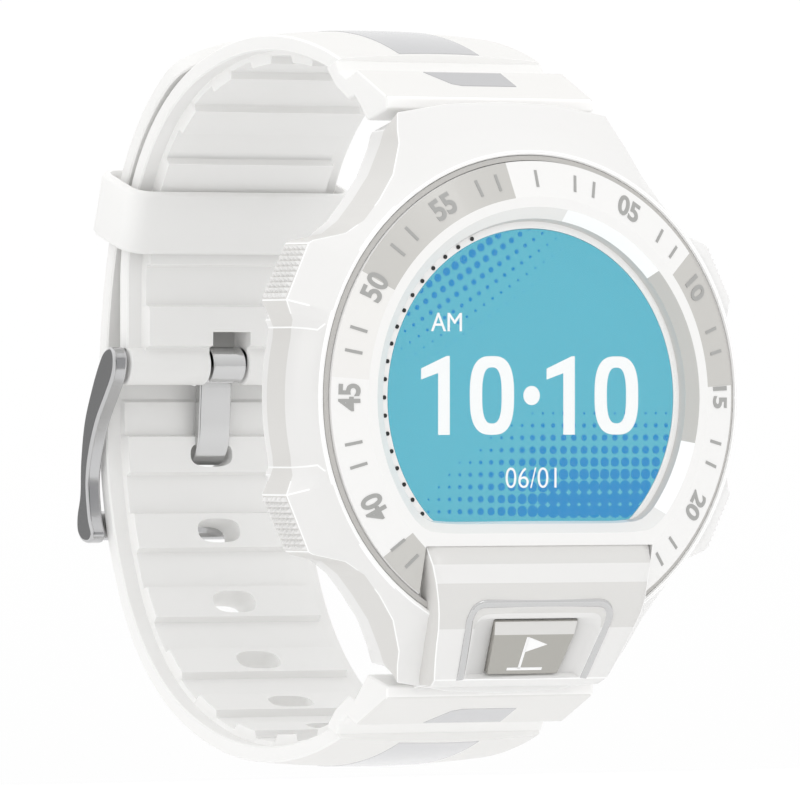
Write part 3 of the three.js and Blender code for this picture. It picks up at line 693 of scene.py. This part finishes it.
def clipped_dot(x, z, radius, lift=0.0, steps=14):
    """One dot of the screen's pattern, kept inside the screen."""
    rim = SCREEN_R - 0.06
    outline = []
    for i in range(steps):
        angle = (i + 0.5) * 2 * pi / steps
        px, pz = x + radius * cos(angle), z + radius * sin(angle)
        pz = max(pz, SCREEN_FLAT + 0.05)
        reach = hypot(px, pz)
        if reach > rim:
            px, pz = px * rim / reach, pz * rim / reach
        outline.append((px, pz))
    return prism(outline, -0.03 - lift, 0.01, "y")


def halftone():
    """Dots that fade from the screen's lower right edge and from its upper left edge."""
    dots = []
    for row in range(9):
        z = -1.46 - row * DOT_PITCH
        full = 0.12 + 0.095 * row - 0.0034 * row * row
        start = -0.1 - 2.45 * row + 0.12 * row * row
        for column in range(-12, 14):
            x = 0.1 + column * DOT_PITCH
            if x > start and hypot(x, z) < SCREEN_R + 0.3:
                size = min(full, 0.09 + 0.038 * (x - start))
                dots.append(clipped_dot(x, z, size, 0.012 * ((row + column) % 2)))
    along = Vector((-0.927, -0.564))
    inward = Vector((0.55, -1.03))
    for row in range(-1, 6):
        for column in range(-9, 10):
            x, z = Vector((-7.36, 12.64)) + column * along + row * inward
            size = (0.4 - 0.066 * max(row, 0)) * (1 - (column / 11.5) ** 2)
            if hypot(x, z) < SCREEN_R + 0.3:
                dots.append(clipped_dot(x, z, size))
    return dots


def bowed(share, power=0.72):
    """A cosine or sine pushed outwards, which squares a circle a little."""
    return copysign(abs(share) ** power, share)


def figure_zero(x0, x1, z0, z1, stroke):
    """A zero: a tall rounded ring."""
    cx, cz = (x0 + x1) / 2, (z0 + z1) / 2
    rings = []
    for i in range(64):
        angle = i / 64 * 2 * pi
        c, s = bowed(cos(angle)), bowed(sin(angle))
        ring = []
        for inset in (0.0, stroke):
            hx, hz = (x1 - x0) / 2 - inset, (z1 - z0) / 2 - inset * 0.8
            ring.append((cx + hx * c, cz + hz * s))
        (ox, oz), (ix, iz) = ring
        rings.append([(ox, -0.08, oz), (ix, -0.08, iz), (ix, 0.0, iz), (ox, 0.0, oz)])
    return loft(rings, closed_path=True)


def figure_one(x0, x1, z0, z1, stroke):
    """A one: a stem with a flag."""
    outline = [
        (x1 - stroke, z0), (x1, z0), (x1, z1), (x1 - 0.3, z1), (x0, z1 - 1.15), (x0, z1 - 2.15),
        (x1 - stroke, z1 - 1.55),
    ]
    return prism(outline, -0.08, 0.0, "y")


def small_text(words, x0, x1, z0, z1, bold=0.0):
    """Words stretched to fill a box on the screen."""
    points, faces, size = text_mesh(words, 2.0, bold)
    cx, cz = (x0 + x1) / 2, (z0 + z1) / 2
    fitted = [
        (cx + p.x * (x1 - x0) / size.x, -0.05 - p.z * 0.5, cz + p.y * (z1 - z0) / size.y)
        for p in points
    ]
    return fitted, faces


def build_figures(m):
    """The time, AM and the date on the screen."""
    tall = (-3.43, 3.8)
    shapes = [
        figure_one(-11.95, -8.9, *tall, 1.22),
        figure_zero(-6.7, -1.95, *tall, 1.3),
        figure_one(1.63, 4.67, *tall, 1.22),
        figure_zero(6.87, 11.62, *tall, 1.3),
        disc(0.88, -0.08, 0.0, -0.02, 0.18, 32),
        small_text("AM", -10.9, -7.58, 6.06, 7.75),
        small_text("06/01", -2.84, 2.68, -8.32, -6.44, -0.02),
    ]
    crisp(piece("screen_figures", *merged(*shapes), m["figures"]))


# ---- front key ----
# Rows down the key housing's middle: depth, height, half width.
HOUSING = [
    (-1.3, -13.5, 12.1),
    (-2.1, -15.25, 11.86),
    (-2.14, -15.5, 11.8),
    (-2.2, -17.0, 11.5),
    (-2.15, -18.6, 11.25),
    (-1.85, -19.8, 11.0),
    (-1.2, -21.2, 10.65),
    (-0.4, -22.6, 10.35),
    (0.4, -24.0, 10.0),
    (1.1, -25.2, 9.65),
    (1.55, -25.95, 9.4),
    (2.6, -26.5, 9.1),
    (5.4, -26.75, 8.8),
]
# Rows of the housing's face painted greyer as shade: its top chamfer and the band sloping down to
# the window.
PAINTED_SHADE_ROWS = (0, 3, 4, 5)
HOUSING_STEPS = 13  # across the housing's face
HOUSING_BACK = 6.0
KEY_CENTRE = Vector((0, -0.4, -22.6))
KEY_TILT = 30 * DEG


def on_key(x, depth, along):
    """A point in the key's own frame: depth into the case, along up the sloping face."""
    c, s = cos(KEY_TILT), sin(KEY_TILT)
    return (x, KEY_CENTRE.y + depth * c - along * s, KEY_CENTRE.z + depth * s + along * c)


def trapezium(top, foot, high, low, round_by, steps=6):
    """Half widths at top and foot, with rounded upper corners, anticlockwise from lower left."""
    out = [(-foot, low), (foot, low)]
    for side in (1, -1):
        bend = []
        for i in range(steps + 1):
            t = i / steps
            bend.append((side * (top - round_by * t * t), high - round_by * (1 - t) ** 2))
        out += bend if side > 0 else bend[::-1]
    return out


def key_prism(outline, d0, d1):
    """An outline in the key's frame pushed from one depth to another."""
    return loft([[on_key(x, d, z) for x, z in outline] for d in (d0, d1)])


def housing_surface(z):
    """Depth of the housing's face at a height."""
    for (y0, z0, _), (y1, z1, _) in zip(HOUSING, HOUSING[1:]):
        if z1 <= z <= z0:
            return y0 + (y1 - y0) * (z - z0) / (z1 - z0)
    return HOUSING[-1][0]


def key_window(m, spare=0.0):
    """The solid that opens the key's window: wide at the mouth, with a well for the cap."""
    rows = [
        (-2.5, 7.1, 6.4, 4.0, -3.95, 1.5),
        (-0.1, 7.0, 6.3, 3.55, -3.85, 1.5),
        (0.75, 6.4, 5.85, 2.25, -3.7, 1.0),
    ]
    if spare:
        rows.append((3.0, 6.4, 5.85, 2.25, -3.7, 1.0))
    else:
        rows += [(0.75, 4.6, 3.9, 2.2, -3.65, 0.2), (1.9, 4.6, 3.9, 2.2, -3.65, 0.2)]
    rings = []
    for depth, top, foot, high, low, corner in rows:
        shape = trapezium(top + spare, foot + spare, high + spare, low - spare, corner)
        rings.append([on_key(x, depth, z) for x, z in shape])
    return piece("window", *loft(rings), m["case"])


def housing_row(y, z, half):
    """The housing's section at one height: a crowned face between two side walls."""
    row = [(-half + 0.2, HOUSING_BACK, z), (-half - 0.05, y + 1.6, z), (-half, y + 0.25, z)]
    for i in range(HOUSING_STEPS):
        x = -half + 2 * half * (i + 0.5) / HOUSING_STEPS
        crown = 0.0 if z > -16 else 0.35 * (x / half) ** 2
        row.append((x, y + crown, z))
    return row + [(half, y + 0.25, z), (half + 0.05, y + 1.6, z), (half - 0.2, HOUSING_BACK, z)]


def build_key(around_it, m):
    """The key's housing, its window through the pieces around it, its trim, cap and flag."""
    rings = [housing_row(*row) for row in HOUSING]
    points, faces = loft(rings)
    # the side walls take the painted shade of the case's wall, the listed rows of the face a
    # painted shade, and the rounded edges the painted highlight
    tones = [0] * len(faces)
    sides = len(rings[0])
    for row in range(len(rings) - 1):
        for j in (0, 1, sides - 3, sides - 2):
            tones[row * sides + j] = 2
        if row in PAINTED_SHADE_ROWS:
            for j in range(2, sides - 3):
                tones[row * sides + j] = 1
    finishes = [m["case"], m["case_painted_shading"], m["case_wall_painted_shade"], m["case_painted_highlight"]]
    housing = piece("key_housing", points, faces, finishes, painted_shading_by_face=tones)
    soften(housing, 0.14, 2, 28, edge=3)
    cut(housing, key_window(m))
    for part in around_it:
        cut(part, key_window(m, spare=0.5))
    crisp(housing, 25)
    build_trim(m)
    build_cap(m)
    build_flag(m)


# Rows down the key's cap: half width, depth, height along the sloping face.
CAP = [(4.5, 0.6, 2.0), (4.35, 0.3, 0.75), (3.8, 0.3, -3.4), (3.75, 0.4, -3.55)]


def build_cap(m):
    """The key's cap: a plate with its top chamfer painted paler, as a highlight."""
    rings = []
    for half, depth, along in CAP:
        ends = [(-half, depth), (half, depth), (half, 1.0), (-half, 1.0)]
        rings.append([on_key(x, d, along) for x, d in ends])
    points, faces = loft(rings)
    tones = [1 if i == 0 else 0 for i in range(len(faces))]
    cap = piece(
        "front_key", points, faces, [m["key"], m["case_painted_shading"]],
        body="key", replaces=["front_key"], painted_shading_by_face=tones,
    )
    soften(cap, 0.08, 2)


# The trim's section: distance out from its spine, and height above the housing's face.
TRIM = [(0.42, 0.3), (0.36, -0.12), (0.15, -0.24), (-0.15, -0.24), (-0.36, -0.1), (-0.45, 0.3)]


def build_trim(m):
    """A polished arch round the key's window, following the housing's face."""
    spine = [(-6.7, -25.95), (-6.8, -25.2), (-7.05, -23.6), (-7.35, -21.8), (-7.55, -20.5)]
    for i in range(1, 7):
        t = i / 6
        spine.append((-7.55 + 1.5 * t * t, -20.5 + 1.6 * (1 - (1 - t) ** 2)))
    spine += [(-x, z) for x, z in reversed(spine)]
    rings = []
    for i, (x, z) in enumerate(spine):
        before = Vector(spine[max(i - 1, 0)])
        after = Vector(spine[min(i + 1, len(spine) - 1)])
        run = (after - before).normalized()
        crown = 0.35 * (x / 9.5) ** 2
        ring = []
        for side, lift in TRIM:
            px, pz = x - run.y * side, z + run.x * side
            ring.append((px, housing_surface(pz) + crown + lift, pz))
        rings.append(ring)
    trim = piece("key_trim", *loft(rings), m["silver"], replaces=["key_trim"])
    soften(trim, 0.06, 2)


def bar(a, b, half):
    """The outline of a straight bar from a to b."""
    a, b = Vector(a), Vector(b)
    run = (b - a).normalized()
    side = Vector((-run.y, run.x)) * half
    return [tuple(a + side), tuple(a - side), tuple(b - side), tuple(b + side)]


def build_flag(m):
    """A golf flag in white on the key."""
    pole = bar((-0.6, -2.9), (-0.6, 0.5), 0.14)
    cloth = [(-0.5, 0.5), (-0.5, -1.1), (1.7, -0.3)]
    ground = bar((-1.9, -2.9), (1.9, -2.9), 0.14)
    shapes = [key_prism(outline, 0.25, 0.5) for outline in (pole, cloth, ground)]
    crisp(piece("front_key_flag", *merged(*shapes), m["key_mark"], body="key"))


# ---- strap ----
def band_section(half, pad):
    """A strap section as (x, depth): a crowned outer face, a side wall and a raised inner pad."""
    section = []
    for i in range(OUTER_POINTS):
        t = -1 + 2 * i / (OUTER_POINTS - 1)
        section.append(((half - 0.18) * t, STRAP_CROWN * (t * t - 1)))
    wall = [(half, 0.16), (half, SKIN / 2), (half, SKIN - 0.16), (half - 0.16, SKIN)]
    edge = min(PAD_HALF, half - 0.9)
    wall += [(edge + 0.1, SKIN), (edge - 0.12, SKIN + pad)]
    section += wall
    for i in range(1, 6):
        section.append(((edge - 0.12) * (1 - i / 3), SKIN + pad))
    return section + [(-x, depth) for x, depth in reversed(wall)]


def rib_spans(first, end):
    """Where each rib starts and stops, from the first one to the last that fits."""
    spans = []
    rib = first
    while rib + RIB_LENGTH < end:
        spans.append((rib, rib + RIB_LENGTH))
        rib += RIB_PITCH
    return [(a, b) for a, b in spans if a > 0]


def band(path, end, side, first_rib, pad_to, tip=0.0):
    """Points and faces of a strap: a skin, a pad up to pad_to, and ribs across the pad."""
    ribs = rib_spans(first_rib, min(pad_to, end))
    stops = {0.0, end}
    s = 0.0
    while s < end:
        stops.add(s)
        s += 0.9
    for a, b in ribs:
        stops.update((a - 0.12, a + 0.12, b - 0.12, b + 0.12))
    if pad_to < end:
        stops.update((pad_to - 0.15, pad_to + 0.15))
    if tip:
        stops.update(end - tip * (1 - cos(i * 9 * DEG)) for i in range(11))
    rings = []
    for s in sorted(stops):
        on_rib = any(a <= s <= b for a, b in ribs)
        pad = 0.02 if s > pad_to else PAD + (RIB if on_rib else 0.0)
        half = STRAP_HALF
        if tip and s > end - tip:
            over = (s - (end - tip)) / tip
            half = STRAP_HALF - tip + tip * sqrt(max(0.0, 1 - over * over)) + 0.02
        rings.append([(x, *path.inside(s, depth, side)) for x, depth in band_section(half, pad)])
    return loft(rings)


def build_band(m, name, shape):
    """One half of the strap: its outer face is painted darker than its sides and its pad, as shade.
    """
    faces = shape[1]
    sides = len(band_section(STRAP_HALF, PAD))
    outer = range(OUTER_POINTS - 1)
    tones = [2 if i % sides in outer and i < len(faces) - 2 else 0 for i in range(len(faces))]
    finishes = [m["strap"], m["strap_painted_highlight"], m["strap_painted_shade"]]
    return piece(name, *shape, finishes, replaces=[name], painted_shading_by_face=tones)


def hole_cutter(m, s):
    """The solid that opens an oblong pin hole at distance s along the lower strap."""
    y, z, facing = LOWER.at(s)
    ring = []
    for i in range(28):
        angle = i / 28 * 2 * pi
        ring.append((bowed(cos(angle), 0.7) * 2.35, bowed(sin(angle), 0.75) * 1.2))
    run = Vector(polar(1, facing))
    out = Vector((run.y, -run.x))
    rings = []
    for depth in (-4, 4):
        spots = ((x, run * t + out * depth) for x, t in ring)
        rings.append([(x, y + spot.x, z + spot.y) for x, spot in spots])
    return piece("cutter", *loft(rings), m["strap"])


# Section of the block that joins each strap to the case, as y, z of the upper one.
BLOCK = [
    (16.1, 31.35), (15.5, 30.2), (14.2, 29.6), (12.4, 30.3), (7.05, 27.7), (7.05, 26.5),
    (10.6, 25.5), (11.8, 26.8), (12.9, 27.9), (14.0, 27.5), (16.35, 28.9), (17.3, 29.9),
    (18.0, 30.6),
]
BLOCK_PAINTED_SHADING = {3: 2, 4: 1}  # painted shade on the outer slope and a painted highlight on the step in front of it
SLOPE_TOP, SLOPE_FOOT = Vector(BLOCK[3]), Vector(BLOCK[4])
KNUCKLE = (8.4, 23.6)  # y, z round the upper lug bar
KNUCKLE_R = 1.95
BLOCK_HALF = 11.3
KNUCKLE_HALF = 8.6


def build_upper_strap(m):
    """The strap half that holds the buckle, slotted for the tongue, and its bar's sleeve."""
    shape = band(UPPER, UPPER.length + 0.2, 1, 7.7, 999)
    upper = build_band(m, "strap_upper", shape)
    slot = [(-2.1, 52), (2.1, 52), (2.1, 60), (-2.1, 60)]
    ring = [[(x, y, z) for x, y in slot] for z in (-1.5, BAR[1] + 3.2)]
    cut(upper, piece("cutter", *loft(ring), m["strap"]))
    # the rounded edges take the brighter white as a painted highlight
    soften(upper, 0.1, 2, 35, edge=1)
    angles = [i * 12 * DEG for i in range(30)]
    ring = [(BAR[0] - 0.25 + 1.65 * cos(a), BAR[1] + 1.9 * sin(a)) for a in angles]
    sleeve = [prism(ring, x0, x1, "x") for x0, x1 in ((-11.0, -2.1), (2.1, 11.0))]
    soften(piece("strap_bar_sleeve", *merged(*sleeve), m["strap"]), 0.25, 3)


def build_lower_strap(m):
    """The strap half with the pin holes and the rounded tail."""
    first_rib = TONGUE_HOLE - RIB_LENGTH / 2 - 7 * RIB_PITCH
    shape = band(LOWER, LOWER.length, -1, first_rib, TAIL_BEND - 1.6, tip=8.0)
    lower = build_band(m, "strap_lower", shape)
    for i in range(1, -6, -1):
        cut(lower, hole_cutter(m, TONGUE_HOLE + i * RIB_PITCH))
    # the rounded edges take the brighter white as a painted highlight
    soften(lower, 0.1, 2, 35, edge=1)


def build_strap(m):
    """Both halves of the strap, with the blocks and knuckles that join them to the case."""
    build_upper_strap(m)
    build_lower_strap(m)
    finishes = [m["strap"], m["strap_painted_highlight"], m["strap_painted_shade"]]
    tones = [BLOCK_PAINTED_SHADING.get(i, 0) for i in range(len(BLOCK) + 2)]
    for name, flip in (("upper", 1), ("lower", -1)):
        shape = prism([(y, z * flip) for y, z in BLOCK], -BLOCK_HALF, BLOCK_HALF, "x")
        soften(piece(f"strap_block_{name}", *shape, finishes, painted_shading_by_face=tones), 0.3, 3)
        y, z = KNUCKLE
        roll = [(a, flip * b) for a, b in circle(KNUCKLE_R, y, z, 24)]
        neck = [(a, flip * b) for a, b in ((7.4, z), (10.2, z), (10.8, 26.2), (8.0, 27.2))]
        shape = merged(*(prism(line, -KNUCKLE_HALF, KNUCKLE_HALF, "x") for line in (roll, neck)))
        soften(piece(f"strap_knuckle_{name}", *shape, m["strap"]), 0.2, 2)
    build_inlays(m)


def build_inlays(m):
    """A long inlay along each strap's outer face and a short one on each block's slope."""
    across = (-4.4, -3, -1.5, 0, 1.5, 3, 4.4)
    slope = (SLOPE_TOP - SLOPE_FOOT).normalized()
    short = [(-4.3, 5.6), (4.2, 5.6), (4.3, 2.6), (-1.6, 2.6), (-2.6, 3.0)]
    # the lower inlays face downwards and take the paler copy, painted light
    for name, path, side, tone in (
        ("upper", UPPER, 1, "inlay"),
        ("lower", LOWER, -1, "inlay_painted_light"),
    ):
        rings = []
        for i in range(20):
            s = 0.3 + 15.0 * i / 19
            spots = [(x, STRAP_CROWN * (x / STRAP_HALF) ** 2 - 0.54) for x in across]
            spots += [(x, 0.1) for x in (4.4, 0, -4.4)]
            rings.append([(x, *path.inside(s, depth, side)) for x, depth in spots])
        long_name, short_name = f"{name}_long_inlay", f"{name}_short_inlay"
        soften(piece(long_name, *loft(rings), m[tone], replaces=[long_name]), 0.06, 2)
        rings = []
        for deep in (-0.05, 0.3):
            into = Vector((slope.y, -slope.x)) * deep
            spots = [(x, SLOPE_FOOT + slope * t + into) for x, t in short]
            rings.append([(x, spot.x, side * spot.y) for x, spot in spots])
        soften(piece(short_name, *loft(rings), m[tone], replaces=[short_name]), 0.06, 2)


# The keeper's section: distance out from its middle, and distance along the strap.
KEEPER_SECTION = [
    (-0.55, -2.7), (-0.2, -3.1), (0.3, -3.0), (0.55, -2.6), (0.55, 2.6), (0.3, 3.0), (-0.2, 3.1),
    (-0.55, 2.7),
]
KEEPER_TURN = 18 * DEG  # where it sits on the strap's rear curve


def build_keeper(m):
    """The keeper: a flat band bent round both layers of the strap."""
    out = Vector(polar(1, KEEPER_TURN))
    along = Vector((-out.y, out.x))
    half, low, high, bend = 12.0, 18.75, 26.0, 1.7
    spine = []
    for i, (cx, cr) in enumerate([(half, high), (-half, high), (-half, low), (half, low)]):
        mx = cx - copysign(bend, cx)
        mr = cr - (bend if cr == high else -bend)
        for j in range(8):
            turn = (i * 90 + j * 90 / 7) * DEG
            c, s = cos(turn), sin(turn)
            spine.append((mx + bend * c, mr + bend * s, c, s))
    rings = []
    for x, r, nx, nr in spine:
        ring = []
        for t, w in KEEPER_SECTION:
            spot = Vector(KEEPER_ARC) + out * (r + nr * t) + along * w
            ring.append((x + nx * t, spot.x, spot.y))
        rings.append(ring)
    shape = loft(rings, closed_path=True)
    keeper = piece("strap_keeper", *shape, m["strap"], body="keeper", replaces=["strap_keeper"])
    crisp(keeper, 50)


# ---- buckle ----
# Outlines seen from the side, as y, z.
ARM = [
    (55.0, 4.8), (56.2, 4.4), (57.2, 3.2), (58.5, 0.9), (59.9, -2.3), (60.6, -6.1), (60.75, -9.3),
    (61.3, -11.4), (61.2, -12.9), (60.3, -13.8), (58.9, -13.9), (58.3, -13.1), (58.9, -11.4),
    (59.3, -8.1), (58.7, -5.2), (57.4, -2.3), (55.6, 0.2), (54.4, 2.0), (54.1, 3.4), (54.3, 4.4),
]
TONGUE = [
    (BAR[0] + 0.9, BAR[1] - 0.3), (BAR[0] + 1.8, BAR[1] - 0.3), (BAR[0] + 1.9, -1.5),
    (BAR[0] + 2.2, -3.7), (BAR[0] + 3.0, -5.2), (BAR[0] + 4.6, -5.65), (BAR[0] + 4.7, -6.4),
    (BAR[0] + 2.7, -6.35), (BAR[0] + 1.4, -4.6), (BAR[0] + 1.05, -1.5),
]
BUCKLE_END = [
    (59.75, -11.4), (60.6, -10.9), (61.3, -11.5), (61.15, -12.9), (60.3, -13.7), (59.5, -13.3),
]


def build_buckle(m):
    """The buckle's frame, made of two arms and an end bar, and its tongue."""
    for name, outline, x0, x1, replaced in (
        ("buckle_frame", ARM, 11.4, 13.0, ["buckle_frame"]),
        ("buckle_arm", ARM, -13.0, -11.4, []),
        ("buckle_end", BUCKLE_END, -12.8, 12.8, []),
    ):
        shape = prism(smooth_outline(outline), x0, x1, "x")
        soften(piece(name, *shape, m["steel"], body="frame", replaces=replaced), 0.32, 4, 40)
    angles = [(-75 + i * 10) * DEG for i in range(33)]
    outer, inner = ([tuple(Vector(BAR) + Vector(polar(r, a))) for a in angles] for r in (1.8, 0.88))
    curl = prism(outer + inner[::-1], -1.8, 1.8, "x")
    tongue = piece("buckle_tongue", *curl, m["silver"], body="tongue", replaces=["buckle_tongue"])
    soften(tongue, 0.12, 2, 35)
    leg = prism(smooth_outline(TONGUE, 4), -1.78, 1.78, "x")
    soften(piece("buckle_tongue_leg", *leg, m["silver"], body="tongue"), 0.2, 3, 45)


# ---- back ----
SCREW_TURNS = (45, 135, 225, 315)
SCREW_RING = 17.4
CONTACT_X = (-3.9, -1.3, 1.3, 3.9)
CONTACT_Z = -10.4


def build_back(m):
    """The steel cover with its recesses, the sensor window and the cover's screws."""
    cover = [
        (6.35, 9.7), (20.0, 9.6), (20.2, 9.8), (20.2, 10.2), (19.7, 10.5), (14.6, 10.62),
        (14.5, 10.5), (14.2, 10.5), (14.1, 10.64), (12.2, 10.75), (8.6, 11.3), (6.35, 11.36),
    ]
    screws = [polar(SCREW_RING, turn * DEG) for turn in SCREW_TURNS]
    back = piece("case_back", *turned(cover), m["plate"], replaces=["case_back"])
    recesses = [disc(1.62, 10.0, 12, x, z) for x, z in screws]
    recesses += [disc(1.12, 10.2, 12, x, CONTACT_Z) for x in CONTACT_X]
    cut(back, piece("cutter", *merged(*recesses), m["plate"]))
    crisp(back, 25)
    build_sensor(m)
    for i, (x, z) in enumerate(screws):
        name = f"case_screw_{i + 1}"
        shape = merged(disc(1.42, 10.02, 10.5, x, z), disc(0.65, 6.0, 10.1, x, z, 20))
        screw = piece(name, *shape, m["steel"], replaces=[name])
        soften(screw, 0.12, 2)
        cut(screw, piece("cutter", *disc(0.6, 10.25, 12, x, z, 6), m["steel"]))
        crisp(screw, 30)


def build_sensor(m):
    """The dark sensor window with three green spots."""
    axis = 0.0001  # the profile's radius on the turning axis
    profile = [(axis, 11.45), (5.7, 11.45), (6.1, 11.36), (6.25, 11.1), (6.25, 9.7), (axis, 9.7)]
    window = turned(profile)
    crisp(piece("sensor_window", *window, m["sensor"], replaces=["sensor_window"]), 30)
    spots = [disc(r, 11.44, 11.47, x) for r, x in ((1.2, -3.2), (1.2, 3.2), (1.0, 0))]
    crisp(piece("sensor_leds", *merged(*spots), m["led"]))


# ---- pieces that keep their frame shape ----
HIDDEN = {
    "foil": ("display_bracket", "processor_shield", "pressure_sensor", "battery_cell"),
    "steel": ("vibration_motor", "motor_weight"),
    "board": ("main_board", "sensor_board"),
    "seal": ("key_seal", "case_gasket"),
    "black": ("key_switch",),
    "ceramic": ("gps_antenna",),
    "case": ("mid_case",),
}


def finish_hidden(frame, m):
    """Finishes for the pieces inside the case and the bars, which keep the frame's shape."""
    kinds = {name: kind for kind, names in HIDDEN.items() for name in names}
    for name, node in frame["nodes"].items():
        kind = kinds.get(name)
        if name.startswith("charge_contact"):
            kind = "gold"
        if "_bar" in name:
            kind = "steel"
        if kind:
            node.data.materials.clear()
            node.data.materials.append(m[kind])


# ---- stage ----
def area_light(name, location, target, size, power):
    """A square lamp aimed at a point."""
    lamp = bpy.data.lights.new(name, "AREA")
    lamp.size = size
    lamp.energy = power
    obj = add(name, lamp)
    obj.location = location
    aim = Vector(target) - Vector(location)
    obj.rotation_euler = aim.to_track_quat("-Z", "Y").to_euler()


FLOOR_Z = -0.075
CAMERA_TURN = -31.6 * DEG
VIEW_WIDTH = 75.19  # what the picture takes in at the watch
VIEW_X, VIEW_Z = -6.07, -0.235  # the middle of the picture

# How the studio's brightness runs along each direction: start, end, low, high. The last one is
# a dim patch behind the watch's left for the polished steel to reflect.
STUDIO_RAMPS = [
    ((0, 0, 1), -1, 1, 0.75, 1.25),
    ((0, 1, 0), -1, 0.4, 0.86, 1.0),
    ((1, 0, 0), -1, 0.4, 1.15, 1.0),
    ((-0.524, 0.852, 0), 0.86, 0.95, 1.0, 0.3),
]


def build_world():
    """A white studio, brighter above than below and softer in front of the dial."""
    world = bpy.data.worlds.new("studio")
    world.use_nodes = True
    nodes, links = world.node_tree.nodes, world.node_tree.links
    direction = nodes.new("ShaderNodeTexCoord").outputs["Generated"]
    product = None
    for axis, start, end, low, high in STUDIO_RAMPS:
        along = nodes.new("ShaderNodeVectorMath")
        along.operation = "DOT_PRODUCT"
        along.inputs[1].default_value = axis
        links.new(direction, along.inputs[0])
        level = nodes.new("ShaderNodeMapRange")
        fill(level, From_Min=start, From_Max=end, To_Min=low, To_Max=high)
        links.new(along.outputs["Value"], level.inputs["Value"])
        scale = nodes.new("ShaderNodeMath")
        scale.operation = "MULTIPLY"
        scale.inputs[1].default_value = 1.0
        links.new(level.outputs["Result"], scale.inputs[0])
        if product:
            links.new(product, scale.inputs[1])
        product = scale.outputs["Value"]
    links.new(product, nodes["Background"].inputs["Strength"])
    fill(nodes["Background"], Color=(1, 1, 1, 1))
    bpy.context.scene.world = world


def build_stage():
    """A pale floor under the watch, the studio round it and one soft lamp."""
    floor = bpy.data.meshes.new("floor")
    corners = [(x, y, FLOOR_Z) for x, y in ((-1, -1), (1, -1), (1, 1), (-1, 1))]
    floor.from_pydata(corners, [], [(0, 1, 2, 3)])
    floor.materials.append(finish("floor_white", (0.93, 0.93, 0.93), 0.8))
    slab = add("floor", floor)
    build_world()
    area_light("key_light", (0.1, -0.5, 0.4), (0, 0.01, 0), 0.15, 0.27)
    bpy.context.scene.view_settings.view_transform = "Standard"


def build_camera():
    """A long lens to the left of the dial's axis and level with it."""
    lens = bpy.data.cameras.new("camera")
    lens.lens = 500
    lens.sensor_width = 36
    lens.clip_end = 10
    camera = add("camera", lens)
    bpy.context.scene.camera = camera
    right = Vector((cos(CAMERA_TURN), sin(CAMERA_TURN), 0))
    towards = Vector((sin(CAMERA_TURN), -cos(CAMERA_TURN), 0))
    distance = VIEW_WIDTH * MM * lens.lens / lens.sensor_width
    depth = Vector((0, 0.015, 0))
    middle = right * (VIEW_X * MM - depth.dot(right)) + depth
    camera.location = middle + towards * distance + Vector((0, 0, VIEW_Z * MM))
    camera.rotation_euler = (pi / 2, 0, CAMERA_TURN)


def main():
    """Builds everything round the frame."""
    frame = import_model()
    m = make_materials()
    finish_hidden(frame, m)
    shell, mid = build_case(m)
    bezel, groove = build_bezel(m)
    build_dial(m)
    build_key((shell, mid, bezel, groove), m)
    build_strap(m)
    build_keeper(m)
    build_buckle(m)
    build_back(m)
    build_stage()
    build_camera()


main()
